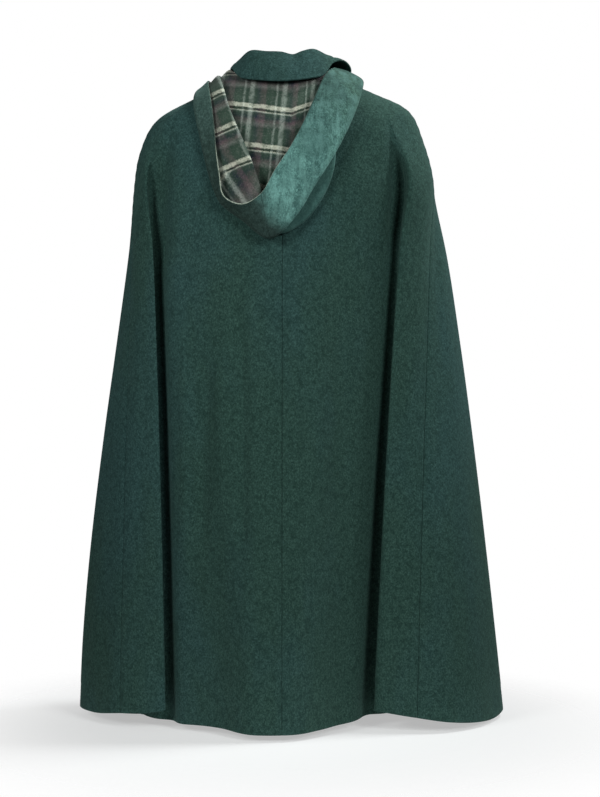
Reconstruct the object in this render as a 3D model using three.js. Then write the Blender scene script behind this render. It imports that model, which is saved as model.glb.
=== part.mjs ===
// Hooded wool cape, hanging filled out as it does on its wearer, with nobody in it.
//
// Millimetres, +Z up. The origin is the centre of the neck opening at the height of the neck seam.
// The back of the garment faces +Y and the wearer's left is +X.
//
// The body is one surface: oval rings from the neck seam down to the upper arms, and below them
// straight folds that run down to the hem. Its panels are stretches of that surface, each a wall of
// cloth. The hood lies down the back as a pouch, drawn as lines that rest on the body at a given lift.

import * as THREE from "three";

// Cloth
const BODY_CLOTH = 2.5;
const COLLAR_CLOTH = 2.4;
const HOOD_CLOTH = 2.0;
const LINING_CLOTH = 1.1;
const SEAM_GAP = 0.3;
const LINING_GAP = 0.36;

// Sizes that the rings and the hem are worked out from
const OVAL_POWER = 0.85;
const LAP_HALF_WIDTH = 16;
const LAP_LIFT = 3.1;
const LAP_LEVEL = 20;
const LAP_RAMP = 42;
const LAP_COLUMNS = 5;

// Rings of the yoke. left and right are half widths, back and front are depths, and the z columns
// are the heights at the left, right, back and front of the ring.
const YOKE_RINGS = [
  { left: 72, right: 72, back: 60, front: 78, zLeft: 4, zRight: 4, zBack: 0, zFront: -62 },
  { left: 143, right: 148, back: 87, front: 100, zLeft: -31, zRight: -21, zBack: -42, zFront: -95 },
  { left: 205, right: 202, back: 103, front: 122, zLeft: -68, zRight: -49, zBack: -84, zFront: -128 },
  { left: 229, right: 226, back: 110, front: 133, zLeft: -118, zRight: -100, zBack: -128, zFront: -165 },
  { left: 238, right: 241, back: 113, front: 138, zLeft: -172, zRight: -166, zBack: -175, zFront: -200 },
];

// Folds round the garment, from the centre back over the wearer's left to the front and back again.
// turn is the angle on the yoke rings in degrees, tuck how far the fold is drawn in at the lowest of
// them, x, y and z its place on the hem, and ease how early it opens on its way down.
const FOLDS = [
  { name: "centre_back", turn: 0, tuck: 0, x: 0, y: 154, z: -1018, ease: 0.9 },
  { name: "left_bulge", turn: 11, tuck: 0, x: 45, y: 150, z: -1018, ease: 0.9 },
  { name: "left_trough_edge", turn: 18, tuck: 0, x: 68, y: 134, z: -1018, ease: 0.85 },
  { name: "left_trough", turn: 25, tuck: 1, x: 93, y: 107, z: -1017, ease: 0.85 },
  { name: "left_flat", turn: 33, tuck: 0, x: 129, y: 82, z: -1017, ease: 0.85 },
  { name: "left_ridge", turn: 41, tuck: 0, x: 164, y: 63, z: -1018, ease: 0.85 },
  { name: "left_under", turn: 48, tuck: 2, x: 196, y: 40, z: -1017, ease: 0.75 },
  { name: "left_valley", turn: 53, tuck: 6, x: 222, y: 18, z: -1012, ease: 0.7 },
  { name: "left_return", turn: 57, tuck: 4, x: 204, y: 41, z: -1003, ease: 0.7 },
  { name: "left_crest", turn: 61, tuck: 0, x: 182, y: 66, z: -996, ease: 0.7 },
  { name: "left_flute", turn: 71, tuck: 0, x: 216, y: 65, z: -1002, ease: 0.75 },
  { name: "left_side_seam", turn: 90, tuck: 0, x: 258, y: 46, z: -1005, ease: 0.85 },
  { name: "left_flute_end", turn: 96, tuck: 0, x: 303, y: -8, z: -1014, ease: 0.88 },
  { name: "left_side", turn: 103, tuck: 0, x: 334, y: -62, z: -1014, ease: 0.88 },
  { name: "left_front_corner", turn: 112, tuck: 0, x: 322, y: -122, z: -1010, ease: 0.88 },
  { name: "left_front_ridge", turn: 124, tuck: 0, x: 282, y: -160, z: -1006, ease: 0.85 },
  { name: "left_front_valley", turn: 136, tuck: 2, x: 236, y: -150, z: -1006, ease: 0.85 },
  { name: "left_front_slope", turn: 147, tuck: 0, x: 192, y: -168, z: -1004, ease: 0.85 },
  { name: "left_front_crest", turn: 156, tuck: 0, x: 146, y: -208, z: -1003, ease: 0.85 },
  { name: "left_front_flat", turn: 164, tuck: 0, x: 100, y: -197, z: -1004, ease: 0.85 },
  { name: "left_front_edge", turn: 172, tuck: 0, x: 52, y: -200, z: -1004, ease: 0.9 },
  { name: "centre_front", turn: 180, tuck: 0, x: 0, y: -206, z: -1004, ease: 0.9 },
  { name: "right_front_edge", turn: 188, tuck: 0, x: -52, y: -200, z: -1004, ease: 0.9 },
  { name: "right_front_flat", turn: 196, tuck: 0, x: -104, y: -192, z: -1005, ease: 0.85 },
  { name: "right_front_crest", turn: 205, tuck: 0, x: -158, y: -203, z: -1005, ease: 0.85 },
  { name: "right_front_slope", turn: 214, tuck: 0, x: -206, y: -166, z: -1008, ease: 0.85 },
  { name: "right_front_valley", turn: 225, tuck: 2, x: -252, y: -150, z: -1010, ease: 0.85 },
  { name: "right_front_ridge", turn: 237, tuck: 0, x: -302, y: -158, z: -1012, ease: 0.85 },
  { name: "right_front_corner", turn: 249, tuck: 0, x: -346, y: -118, z: -1015, ease: 0.82 },
  { name: "right_side", turn: 258, tuck: 0, x: -359, y: -56, z: -1017, ease: 0.8 },
  { name: "right_flute_end", turn: 263, tuck: 0, x: -338, y: 0, z: -1022, ease: 0.8 },
  { name: "right_flute_outer", turn: 267, tuck: 0, x: -300, y: 54, z: -1018, ease: 0.82 },
  { name: "right_flute_crown", turn: 270, tuck: 0, x: -254, y: 86, z: -1011, ease: 0.85 },
  { name: "right_side_seam", turn: 276, tuck: 0, x: -208, y: 90, z: -1004, ease: 0.8 },
  { name: "right_flute", turn: 292, tuck: 0, x: -174, y: 82, z: -1000, ease: 0.75 },
  { name: "right_crest", turn: 308, tuck: 0, x: -142, y: 65, z: -997, ease: 0.7 },
  { name: "right_return", turn: 312, tuck: 4, x: -156, y: 43, z: -1001, ease: 0.7 },
  { name: "right_valley", turn: 316, tuck: 6, x: -170, y: 22, z: -1008, ease: 0.7 },
  { name: "right_under", turn: 322, tuck: 2, x: -146, y: 32, z: -1012, ease: 0.75 },
  { name: "right_panel", turn: 333, tuck: 0, x: -104, y: 70, z: -1015, ease: 0.85 },
  { name: "right_middle", turn: 343, tuck: 0, x: -66, y: 108, z: -1017, ease: 0.88 },
  { name: "right_bulge", turn: 352, tuck: 0, x: -30, y: 142, z: -1018, ease: 0.9 },
];

// Where a fold is pinned on its way from the lowest yoke ring, at 0, to the hem, at 1
const LOWER_STEPS = [0.12, 0.3, 0.5, 0.7, 0.86, 1];
const BODY_ROWS = 16;
const COLUMNS_PER_FOLD = 2;

// Collar sections round the neck. turn is the angle on the neck ring, and out and up are measured
// from the neck seam: to the roll line, and to the free edge of the fall.
const COLLAR_BASE_UP = 1.7;
const COLLAR_CROWN = 3;
const COLLAR_STAND = { out: 0.25, up: 0.5 };
const COLLAR_FALL = { out: 0.6, up: 0.5 };
const COLLAR_ROWS = 12;
const COLLAR_COLUMNS_PER_SECTION = 2;
const COLLAR_SECTIONS = [
  { turn: -167, rollOut: 4, rollUp: 10, edgeOut: 33, edgeUp: -30 },
  { turn: -150, rollOut: 4, rollUp: 12, edgeOut: 38, edgeUp: -24 },
  { turn: -128, rollOut: 4, rollUp: 14, edgeOut: 38, edgeUp: -10 },
  { turn: -105, rollOut: 5, rollUp: 18, edgeOut: 38, edgeUp: 3 },
  { turn: -88, rollOut: 8, rollUp: 23, edgeOut: 36, edgeUp: 11 },
  { turn: -70, rollOut: 10, rollUp: 27, edgeOut: 29, edgeUp: 18 },
  { turn: -52, rollOut: 10, rollUp: 30, edgeOut: 25, edgeUp: 12 },
  { turn: -33, rollOut: 8, rollUp: 33, edgeOut: 31, edgeUp: -11 },
  { turn: -15, rollOut: 8, rollUp: 26, edgeOut: 33, edgeUp: -19 },
  { turn: 0, rollOut: 7, rollUp: 28, edgeOut: 34, edgeUp: -22 },
  { turn: 15, rollOut: 7, rollUp: 29, edgeOut: 33, edgeUp: -20 },
  { turn: 35, rollOut: 7, rollUp: 31, edgeOut: 30, edgeUp: -14 },
  { turn: 60, rollOut: 6, rollUp: 24, edgeOut: 18, edgeUp: 4 },
  { turn: 80, rollOut: 4, rollUp: 18, edgeOut: 17, edgeUp: 5 },
  { turn: 100, rollOut: 4, rollUp: 16, edgeOut: 24, edgeUp: 3 },
  { turn: 125, rollOut: 4, rollUp: 14, edgeOut: 34, edgeUp: -8 },
  { turn: 150, rollOut: 4, rollUp: 12, edgeOut: 38, edgeUp: -24 },
  { turn: 167, rollOut: 4, rollUp: 10, edgeOut: 33, edgeUp: -30 },
];

// Hood sections, from the wearer's left shoulder round the hanging mouth to the right one. neck is
// the angle where a section leaves the neck seam. Each named line holds two coordinates and the lift
// of the cloth's middle off the body: x and z on the back, or x and y where plan is set.
// The lines run from the nape over a pleat (under, pleat) and a strip to the outer fold and the rim.
const HOOD_SECTIONS = [
  { neck: 116, plan: true, nape: [75, -38, 4], under: [81, -41, 4], pleat: [86, -43, 4.5],
    strip: [91, -45, 5], fold: [99, -47, 6.5], rim: [94, -44, 11] },
  { neck: 102, plan: true, nape: [84, -22, 4], under: [95, -23, 5], pleat: [104, -24, 8],
    strip: [112, -24, 8.4], fold: [127, -23, 7.5], rim: [112, -21, 13] },
  { neck: 84, plan: true, nape: [87, 15, 4], under: [105, 22, 7.2], pleat: [100, 27, 15],
    strip: [118, 18, 9], fold: [141, 9, 7], rim: [119, 11, 15] },
  { neck: 66, nape: [82, -10, 4.5], under: [103, -25, 7.2], pleat: [95, -20, 16],
    strip: [117, -42, 9], fold: [136, -57, 8], rim: [112, -41, 17] },
  { neck: 48, nape: [66, -40, 4.5], under: [92, -72, 7.2], pleat: [81, -68, 17],
    strip: [106, -84, 9.5], fold: [129, -92, 7], rim: [106, -81, 16.5] },
  { neck: 33, nape: [50, -66, 5], under: [79, -117, 7.2], pleat: [63, -111, 18.5],
    strip: [94, -128, 11], fold: [118, -140, 7.5], rim: [101, -130, 19] },
  { neck: 22, nape: [38, -82, 5], under: [69, -150, 7.2], pleat: [50, -142, 19],
    strip: [84, -164, 12], fold: [109, -174, 8], rim: [96, -165, 22] },
  { neck: 14, nape: [26, -94, 5], under: [58, -182, 7.2], pleat: [39, -172, 20],
    strip: [72, -196, 12], fold: [93, -211, 10], rim: [88, -203, 27] },
  { neck: 6, nape: [14, -100, 5], under: [40, -207, 7.2], pleat: [30, -200, 16],
    strip: [50, -224, 11], fold: [62, -236, 14], rim: [60, -216, 32] },
  { neck: -2, nape: [2, -104, 5], under: [9, -257, 7], pleat: [14, -236, 12],
    strip: [16, -248, 15], fold: [19, -266, 21], rim: [32, -201, 33] },
  { neck: -12, nape: [-10, -104, 5], under: [-31, -240, 7], pleat: [-8, -216, 12],
    strip: [-13, -223, 16], fold: [-20, -232, 22], rim: [10, -164, 33] },
  { neck: -24, nape: [-24, -92, 5], under: [-62, -199, 7], pleat: [-32, -174, 12],
    strip: [-38, -182, 16], fold: [-46, -189, 21], rim: [-12, -130, 31] },
  { neck: -38, nape: [-46, -60, 5], under: [-79, -148, 7], pleat: [-64, -128, 12],
    strip: [-68, -132, 16], fold: [-76, -141, 21], rim: [-31, -94, 28] },
  { neck: -52, nape: [-62, -34, 5], under: [-76, -57, 5.5], pleat: [-88, -74, 8.5],
    strip: [-94, -81, 11], fold: [-100, -94, 16], rim: [-48, -54, 23] },
  { neck: -66, nape: [-76, -9, 5], under: [-87, -20, 5], pleat: [-98, -30, 5],
    strip: [-107, -40, 7], fold: [-116, -52, 12], rim: [-66, -10, 18] },
  { neck: -82, plan: true, nape: [-83, 12, 4], under: [-91, 13, 4], pleat: [-100, 14, 4.5],
    strip: [-112, 15, 6], fold: [-126, 15, 9], rim: [-85, 25, 14] },
  { neck: -100, plan: true, nape: [-83, -20, 4], under: [-91, -21, 4], pleat: [-99, -22, 4.5],
    strip: [-108, -22, 5], fold: [-121, -22, 6.5], rim: [-102, -20, 11] },
  { neck: -114, plan: true, nape: [-75, -37, 4], under: [-81, -40, 4], pleat: [-86, -42, 4.5],
    strip: [-91, -44, 5], fold: [-99, -46, 6.5], rim: [-94, -43, 11] },
];
const HOOD_LINES = ["nape", "under", "pleat", "strip", "fold", "rim"];
const HOOD_TURNS = ["under", "pleat", "fold"];
const HOOD_SEAM_SECTION = 9;
const HOOD_NECK_OUT = 5.2;
const HOOD_NECK_UP = 3.2;
const FOLD_RADIUS = 2.9;
const HOOD_LEAST_LIFT = 3.8;
const FOLD_REACH = 2.5;

// The hood lies on the yoke, down to this share of the body's length
const YOKE_DEPTH = 0.55;
const YOKE_STEPS = 24;
const YOKE_FINE_STEPS = 36;
const YOKE_FINE_COLUMNS = 3;

// Throat button
const BUTTON = {
  radius: 12,
  edge: 0.9,
  thick: 3.6,
  holeRadius: 1.3,
  holeRing: 3.2,
  holes: 4,
  z: -121,
  seat: 0.2,
  roundSegments: 7,
};

// Colours
const WOOL_GREEN = 0x2f4a43;
const WOOL_BAND = 0x4f7a6e;
const PLAID_GROUND = 0x7d7a72;
const HORN = 0x2a1d16;

// Steps of the searches for a place on the body
const PROBE = 1e-3;
const HALVINGS = 40;
const REFINEMENTS = 12;
const LONGEST_STEP = 0.02;
const FLAT_AREA = 1e-6;

const WOOL_ROUGHNESS = 0.95;
const HORN_ROUGHNESS = 0.35;

function finish(color, roughness = WOOL_ROUGHNESS) {
  return new THREE.MeshStandardMaterial({ color, roughness, metalness: 0 });
}

// A point on one of the yoke's oval rings, at a turn from the centre back towards the wearer's left
function ringPoint(ring, turn) {
  const angle = THREE.MathUtils.degToRad(turn);
  const side = Math.sin(angle);
  const depth = Math.cos(angle);
  const halfWidth = side >= 0 ? ring.left : ring.right;
  const halfDepth = depth >= 0 ? ring.back : ring.front;
  const zSide = side >= 0 ? ring.zLeft : ring.zRight;
  const zDepth = depth >= 0 ? ring.zBack : ring.zFront;
  return new THREE.Vector3(
    Math.sign(side) * halfWidth * Math.abs(side) ** OVAL_POWER,
    Math.sign(depth) * halfDepth * Math.abs(depth) ** OVAL_POWER,
    zSide + (zDepth - zSide) * depth * depth,
  );
}

function smoothCurve(points, closed = false) {
  return new THREE.CatmullRomCurve3(points, closed, "centripetal");
}

// One fold's line from the neck seam to the hem
function foldLine(fold) {
  const points = YOKE_RINGS.map((ring) => ringPoint(ring, fold.turn));
  const top = points[points.length - 1];
  const inward = new THREE.Vector3(-top.x, -top.y, 0).normalize();
  top.addScaledVector(inward, fold.tuck);
  const hem = new THREE.Vector3(fold.x, fold.y, fold.z);
  for (const step of LOWER_STEPS) {
    const opened = step ** fold.ease;
    points.push(new THREE.Vector3(
      THREE.MathUtils.lerp(top.x, hem.x, opened),
      THREE.MathUtils.lerp(top.y, hem.y, opened),
      THREE.MathUtils.lerp(top.z, hem.z, step),
    ));
  }
  return smoothCurve(points);
}

const foldLines = FOLDS.map(foldLine);
const ringCache = new Map();

// The closed ring of cloth at one height, with down from 0 at the neck seam to 1 at the hem
function clothRing(down) {
  const key = down.toFixed(7);
  if (!ringCache.has(key)) {
    ringCache.set(key, smoothCurve(foldLines.map((line) => line.getPoint(down)), true));
  }
  return ringCache.get(key);
}

const foldAt = (name) => FOLDS.findIndex((fold) => fold.name === name) / FOLDS.length;

function bodyPoint(round, down) {
  const turns = round - Math.floor(round);
  return clothRing(THREE.MathUtils.clamp(down, 0, 1)).getPoint(turns);
}

function surfaceNormal(surface, u, v) {
  const vLow = Math.max(v - PROBE, 0);
  const vHigh = Math.min(v + PROBE, 1);
  const along = surface(u + PROBE, v).sub(surface(u - PROBE, v));
  const across = surface(u, vHigh).sub(surface(u, vLow));
  return along.cross(across).normalize();
}

const bodyNormal = (round, down) => surfaceNormal(bodyPoint, round, down);

// A closed wall between two offsets of a surface. grid holds rows of { point, normal }.
function wallGeometry(grid, outer, inner) {
  const rows = grid.length;
  const columns = grid[0].length;
  const positions = [];
  for (const offset of [outer, inner]) {
    for (const row of grid) {
      for (const { point, normal } of row) {
        positions.push(...point.clone().addScaledVector(normal, offset).toArray());
      }
    }
  }
  const layer = rows * columns;
  const at = (side, row, column) => side * layer + row * columns + column;
  const indices = [];
  const quad = (a, b, c, d) => indices.push(a, b, c, a, c, d);
  for (let r = 0; r + 1 < rows; r += 1) {
    for (let c = 0; c + 1 < columns; c += 1) {
      quad(at(0, r, c), at(0, r + 1, c), at(0, r + 1, c + 1), at(0, r, c + 1));
      quad(at(1, r, c), at(1, r, c + 1), at(1, r + 1, c + 1), at(1, r + 1, c));
    }
    quad(at(0, r, 0), at(1, r, 0), at(1, r + 1, 0), at(0, r + 1, 0));
    const last = columns - 1;
    quad(at(0, r, last), at(0, r + 1, last), at(1, r + 1, last), at(1, r, last));
  }
  for (let c = 0; c + 1 < columns; c += 1) {
    quad(at(0, 0, c), at(0, 0, c + 1), at(1, 0, c + 1), at(1, 0, c));
    quad(at(0, rows - 1, c), at(1, rows - 1, c), at(1, rows - 1, c + 1), at(0, rows - 1, c + 1));
  }
  const geometry = new THREE.BufferGeometry();
  geometry.setAttribute("position", new THREE.Float32BufferAttribute(positions, 3));
  geometry.setIndex(signedVolume(positions, indices) < 0 ? indices.reverse() : indices);
  geometry.computeVertexNormals();
  return geometry;
}

function signedVolume(positions, indices) {
  const corner = (i) => new THREE.Vector3().fromArray(positions, indices[i] * 3);
  let volume = 0;
  for (let i = 0; i < indices.length; i += 3) {
    volume += corner(i).dot(corner(i + 1).cross(corner(i + 2)));
  }
  return volume;
}

function piece(name, geometry, material) {
  const mesh = new THREE.Mesh(geometry, material);
  mesh.name = name;
  return mesh;
}

// Moves a row's end points off the seam, along the row, by half the gap between two pieces
function openSeams(row, openStart, openEnd) {
  const shift = (from, towards, length) => {
    const way = row[towards].point.clone().sub(row[from].point).normalize();
    row[from].point.addScaledVector(way, length);
  };
  if (openStart) shift(0, 1, SEAM_GAP / 2);
  if (openEnd) shift(row.length - 1, row.length - 2, SEAM_GAP / 2);
  return row;
}

const bodyRows = Array.from({ length: BODY_ROWS + 1 }, (_, i) => i / BODY_ROWS);

function roundSteps(from, to) {
  const folds = Math.round((to - from) * FOLDS.length);
  const count = folds * COLUMNS_PER_FOLD;
  return Array.from({ length: count + 1 }, (_, i) => from + ((to - from) * i) / count);
}

// A back panel, from one seam to the next
function backPanel(from, to) {
  return bodyRows.map((down) => openSeams(
    roundSteps(from, to).map((round) => ({
      point: bodyPoint(round, down),
      normal: bodyNormal(round, down),
    })),
    true,
    true,
  ));
}

// The place round a ring, near the centre front, where it crosses a given x
function roundAtX(down, x) {
  let low = foldAt("left_front_edge");
  let high = foldAt("right_front_edge");
  for (let i = 0; i < HALVINGS; i += 1) {
    const middle = (low + high) / 2;
    if (bodyPoint(middle, down).x > x) low = middle;
    else high = middle;
  }
  return (low + high) / 2;
}

// A front panel, from its side seam to its lapped edge. lift is how far the upper lap stands out.
function frontPanel(seam, lastFold, edgeX, lift) {
  return bodyRows.map((down) => {
    const edge = roundAtX(down, edgeX);
    const rounds = seam < lastFold ? roundSteps(seam, lastFold) : roundSteps(lastFold, seam).reverse();
    for (let i = 1; i <= LAP_COLUMNS; i += 1) {
      rounds.push(THREE.MathUtils.lerp(lastFold, edge, i / LAP_COLUMNS));
    }
    const row = rounds.map((round) => {
      const point = bodyPoint(round, down);
      const normal = bodyNormal(round, down);
      const raised = 1 - THREE.MathUtils.smoothstep(Math.abs(point.x), LAP_LEVEL, LAP_RAMP);
      return { point: point.addScaledVector(normal, lift * raised), normal };
    });
    return openSeams(row, true, false);
  });
}

const bodyWall = (grid) => wallGeometry(grid, 0, -BODY_CLOTH);

// Finds the body's surface under a point: the place where the body, raised by lift, has the wanted
// x and z, or x and y in plan
function onBody(first, second, lift, plan) {
  const raised = (round, down) => bodyPoint(round, down).addScaledVector(bodyNormal(round, down), lift);
  const miss = (p) => [p.x - first, (plan ? p.y : p.z) - second];
  const reach = plan
    ? [foldAt("left_front_corner"), foldAt("right_front_corner")]
    : [foldAt("left_side_seam"), foldAt("right_side_seam")];
  const half = first >= 0 ? [0, reach[0]] : [reach[1], 1];
  // A search may run over the centre back, but not round a side seam
  const limits = first >= 0 ? [-1, half[1]] : [half[0], 2];
  let best = { error: Infinity };
  for (let i = 0; i <= YOKE_STEPS; i += 1) {
    for (let j = 0; j <= YOKE_STEPS; j += 1) {
      const round = THREE.MathUtils.lerp(half[0], half[1], i / YOKE_STEPS);
      const down = (YOKE_DEPTH * j) / YOKE_STEPS;
      const [dx, dz] = miss(bodyPoint(round, down));
      const error = dx * dx + dz * dz;
      if (error < best.error) best = { error, round, down };
    }
  }
  let { round, down } = best;
  for (let i = 0; i < REFINEMENTS; i += 1) {
    const here = miss(raised(round, down));
    const byRound = miss(raised(round + PROBE, down)).map((m, k) => (m - here[k]) / PROBE);
    const byDown = miss(raised(round, down + PROBE)).map((m, k) => (m - here[k]) / PROBE);
    const area = byRound[0] * byDown[1] - byRound[1] * byDown[0];
    if (Math.abs(area) < FLAT_AREA) break;
    const stepRound = (here[0] * byDown[1] - here[1] * byDown[0]) / area;
    const stepDown = (here[1] * byRound[0] - here[0] * byRound[1]) / area;
    const turned = round - THREE.MathUtils.clamp(stepRound, -LONGEST_STEP, LONGEST_STEP);
    const lowered = down - THREE.MathUtils.clamp(stepDown, -LONGEST_STEP, LONGEST_STEP);
    round = plan ? turned : THREE.MathUtils.clamp(turned, ...limits);
    down = THREE.MathUtils.clamp(lowered, 0, 1);
  }
  return { point: raised(round, down), normal: bodyNormal(round, down) };
}

// One hood section as points from the neck seam to the rim, with a round turn at each fold
function hoodSection(section) {
  const seam = ringPoint(YOKE_RINGS[0], section.neck);
  const outward = new THREE.Vector3(seam.x, seam.y, 0).normalize();
  const start = seam.clone().addScaledVector(outward, HOOD_NECK_OUT);
  start.z += HOOD_NECK_UP;
  const knots = [{ point: start, normal: new THREE.Vector3(0, 0, 1), turning: false }];
  for (const line of HOOD_LINES) {
    const [first, second, lift] = section[line];
    knots.push({ ...onBody(first, second, lift, section.plan), turning: HOOD_TURNS.includes(line) });
  }
  const points = [];
  knots.forEach(({ point, normal, turning }, i) => {
    if (!turning) {
      points.push(point);
      return;
    }
    const back = knots[i - 1].point.clone().sub(point).normalize();
    const ahead = knots[i + 1].point.clone().sub(point).normalize();
    const sharp = (1 + back.dot(ahead)) / 2;
    const bend = normal.clone().multiplyScalar(FOLD_RADIUS * sharp);
    points.push(point.clone().addScaledVector(back, FOLD_REACH).sub(bend));
    points.push(point);
    points.push(point.clone().addScaledVector(ahead, FOLD_REACH).add(bend));
  });
  return points;
}

// Points of the body's yoke, against which the hood is kept clear
const yokePoints = [];
const yokeColumns = FOLDS.length * YOKE_FINE_COLUMNS;
for (let i = 0; i < yokeColumns; i += 1) {
  for (let j = 0; j <= YOKE_FINE_STEPS; j += 1) {
    const round = i / yokeColumns;
    const down = (YOKE_DEPTH * j) / YOKE_FINE_STEPS;
    yokePoints.push({ point: bodyPoint(round, down), normal: bodyNormal(round, down) });
  }
}

function liftClear(point, least) {
  let nearest = yokePoints[0];
  let distance = Infinity;
  for (const place of yokePoints) {
    const far = place.point.distanceToSquared(point);
    if (far < distance) {
      distance = far;
      nearest = place;
    }
  }
  const lift = point.clone().sub(nearest.point).dot(nearest.normal);
  return lift < least ? point.addScaledVector(nearest.normal, least - lift) : point;
}

// The middle of the hood's cloth as a grid of points: a row for each place between the neck seam and
// the rim, a column for each place from the left shoulder round to the right one
const HOOD_ACROSS = [0, 0.5, 1, 1.5, 2, 3, 4, 4.5, 5, 6, 7, 7.5, 8, 8.5, 9, 10, 11, 11.5, 12];
const COLUMNS_PER_SECTION = 2;

function hoodPoints() {
  const sections = HOOD_SECTIONS.map(hoodSection);
  const lines = sections[0].map((_, k) => smoothCurve(sections.map((points) => points[k])));
  const columns = (sections.length - 1) * COLUMNS_PER_SECTION;
  const grid = HOOD_ACROSS.map(() => []);
  for (let i = 0; i <= columns; i += 1) {
    const section = smoothCurve(lines.map((line) => line.getPoint(i / columns)));
    HOOD_ACROSS.forEach((knot, row) => {
      grid[row].push(liftClear(section.getPoint(knot / (lines.length - 1)), HOOD_LEAST_LIFT));
    });
  }
  return grid;
}

// Adds to each point of a grid its normal, from the points beside it
function withNormals(points) {
  const rows = points.length;
  const columns = points[0].length;
  return points.map((row, r) => row.map((point, c) => {
    const along = points[r][Math.min(c + 1, columns - 1)].clone().sub(points[r][Math.max(c - 1, 0)]);
    const across = points[Math.min(r + 1, rows - 1)][c].clone().sub(points[Math.max(r - 1, 0)][c]);
    return { point: point.clone(), normal: along.cross(across).normalize() };
  }));
}

const hood = withNormals(hoodPoints());

// The half of the hood from one section to another, opened at its centre seam
function hoodGrid(from, to, openStart, openEnd) {
  const columns = [from * COLUMNS_PER_SECTION, to * COLUMNS_PER_SECTION + 1];
  const copy = ({ point, normal }) => ({ point: point.clone(), normal: normal.clone() });
  return hood.map((row) => openSeams(row.slice(...columns).map(copy), openStart, openEnd));
}

// The collar's middle: a stand up from the neck seam, a roll, and a fall down over the hood's nape
function collarGrid() {
  const sections = COLLAR_SECTIONS.map(({ turn, rollOut, rollUp, edgeOut, edgeUp }) => {
    const seam = ringPoint(YOKE_RINGS[0], turn);
    const outward = new THREE.Vector3(seam.x, seam.y, 0).normalize();
    const place = (out, up) => {
      const point = seam.clone().addScaledVector(outward, out);
      point.z += COLLAR_BASE_UP + up;
      return point;
    };
    return [
      place(0, 0),
      place(COLLAR_STAND.out * rollOut, COLLAR_STAND.up * rollUp),
      place(rollOut - COLLAR_CROWN, rollUp - COLLAR_CROWN),
      place(rollOut, rollUp),
      place(rollOut + COLLAR_CROWN, rollUp - COLLAR_CROWN),
      place(
        THREE.MathUtils.lerp(rollOut, edgeOut, COLLAR_FALL.out),
        THREE.MathUtils.lerp(rollUp, edgeUp, COLLAR_FALL.up),
      ),
      place(edgeOut, edgeUp),
    ];
  });
  const lines = sections[0].map((_, k) => smoothCurve(sections.map((points) => points[k])));
  const surface = (along, across) => smoothCurve(lines.map((line) => line.getPoint(
    THREE.MathUtils.clamp(along, 0, 1),
  ))).getPoint(THREE.MathUtils.clamp(across, 0, 1));
  const alongSteps = (COLLAR_SECTIONS.length - 1) * COLLAR_COLUMNS_PER_SECTION;
  const grid = [];
  for (let j = 0; j <= COLLAR_ROWS; j += 1) {
    const row = [];
    for (let i = 0; i <= alongSteps; i += 1) {
      const along = i / alongSteps;
      const across = j / COLLAR_ROWS;
      row.push({ point: surface(along, across), normal: surfaceNormal(surface, along, across) });
    }
    grid.push(row);
  }
  return grid;
}

// A four-hole button with a rounded edge, sitting on the upper front where it laps at the throat
function throatButton() {
  const { radius, edge, thick, holeRadius, holeRing, holes, z } = BUTTON;
  const disc = new THREE.Shape().absarc(0, 0, radius - edge, 0, 2 * Math.PI, false);
  for (let i = 0; i < holes; i += 1) {
    const angle = (2 * Math.PI * (i + 0.5)) / holes;
    const x = holeRing * Math.cos(angle);
    const y = holeRing * Math.sin(angle);
    disc.holes.push(new THREE.Path().absarc(x, y, holeRadius, 0, 2 * Math.PI, true));
  }
  const geometry = new THREE.ExtrudeGeometry(disc, {
    depth: thick - 2 * edge,
    bevelThickness: edge,
    bevelSize: edge,
    bevelSegments: 1,
    curveSegments: BUTTON.roundSegments,
  });
  geometry.translate(0, 0, edge);
  const round = foldAt("centre_front");
  let low = 0;
  let high = 1;
  for (let i = 0; i < HALVINGS; i += 1) {
    const middle = (low + high) / 2;
    if (bodyPoint(round, middle).z > z) low = middle;
    else high = middle;
  }
  const normal = bodyNormal(round, low);
  const button = piece("throat_button", geometry, finish(HORN, HORN_ROUGHNESS));
  button.position.copy(bodyPoint(round, low)).addScaledVector(normal, LAP_LIFT + BUTTON.seat);
  button.quaternion.setFromUnitVectors(new THREE.Vector3(0, 0, 1), normal);
  return button;
}

const group = new THREE.Group();
group.name = "hooded_cape";
group.add(
  piece("back_left", bodyWall(backPanel(0, foldAt("left_side_seam"))), finish(WOOL_GREEN)),
  piece("back_right", bodyWall(backPanel(foldAt("right_side_seam"), 1)), finish(WOOL_GREEN)),
  piece("front_left", bodyWall(frontPanel(
    foldAt("left_side_seam"),
    foldAt("left_front_edge"),
    -LAP_HALF_WIDTH,
    0,
  )), finish(WOOL_GREEN)),
  piece("front_right", bodyWall(frontPanel(
    foldAt("right_side_seam"),
    foldAt("right_front_edge"),
    LAP_HALF_WIDTH,
    LAP_LIFT,
  )), finish(WOOL_GREEN)),
  piece("collar", wallGeometry(collarGrid(), COLLAR_CLOTH / 2, -COLLAR_CLOTH / 2), finish(WOOL_GREEN)),
  throatButton(),
);

const halfGap = LINING_GAP / 2;
const hoodHalves = [
  { side: "left", grid: hoodGrid(0, HOOD_SEAM_SECTION, false, true) },
  { side: "right", grid: hoodGrid(HOOD_SEAM_SECTION, HOOD_SECTIONS.length - 1, true, false) },
];
for (const { side, grid } of hoodHalves) {
  group.add(
    piece(
      `hood_shell_${side}`,
      wallGeometry(grid, halfGap + HOOD_CLOTH, halfGap),
      finish(WOOL_BAND),
    ),
    piece(
      `hood_lining_${side}`,
      wallGeometry(grid, -halfGap, -halfGap - LINING_CLOTH),
      finish(PLAID_GROUND),
    ),
  );
}

export default group;
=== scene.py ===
"""Dresses a hooded wool cape in Blender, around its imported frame.

Everything is in metres. +Z is up, the back of the garment faces +Y and the wearer's left is +X.
The tables of rings, folds and sections are in millimetres, and MM turns them into metres.
"""

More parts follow.
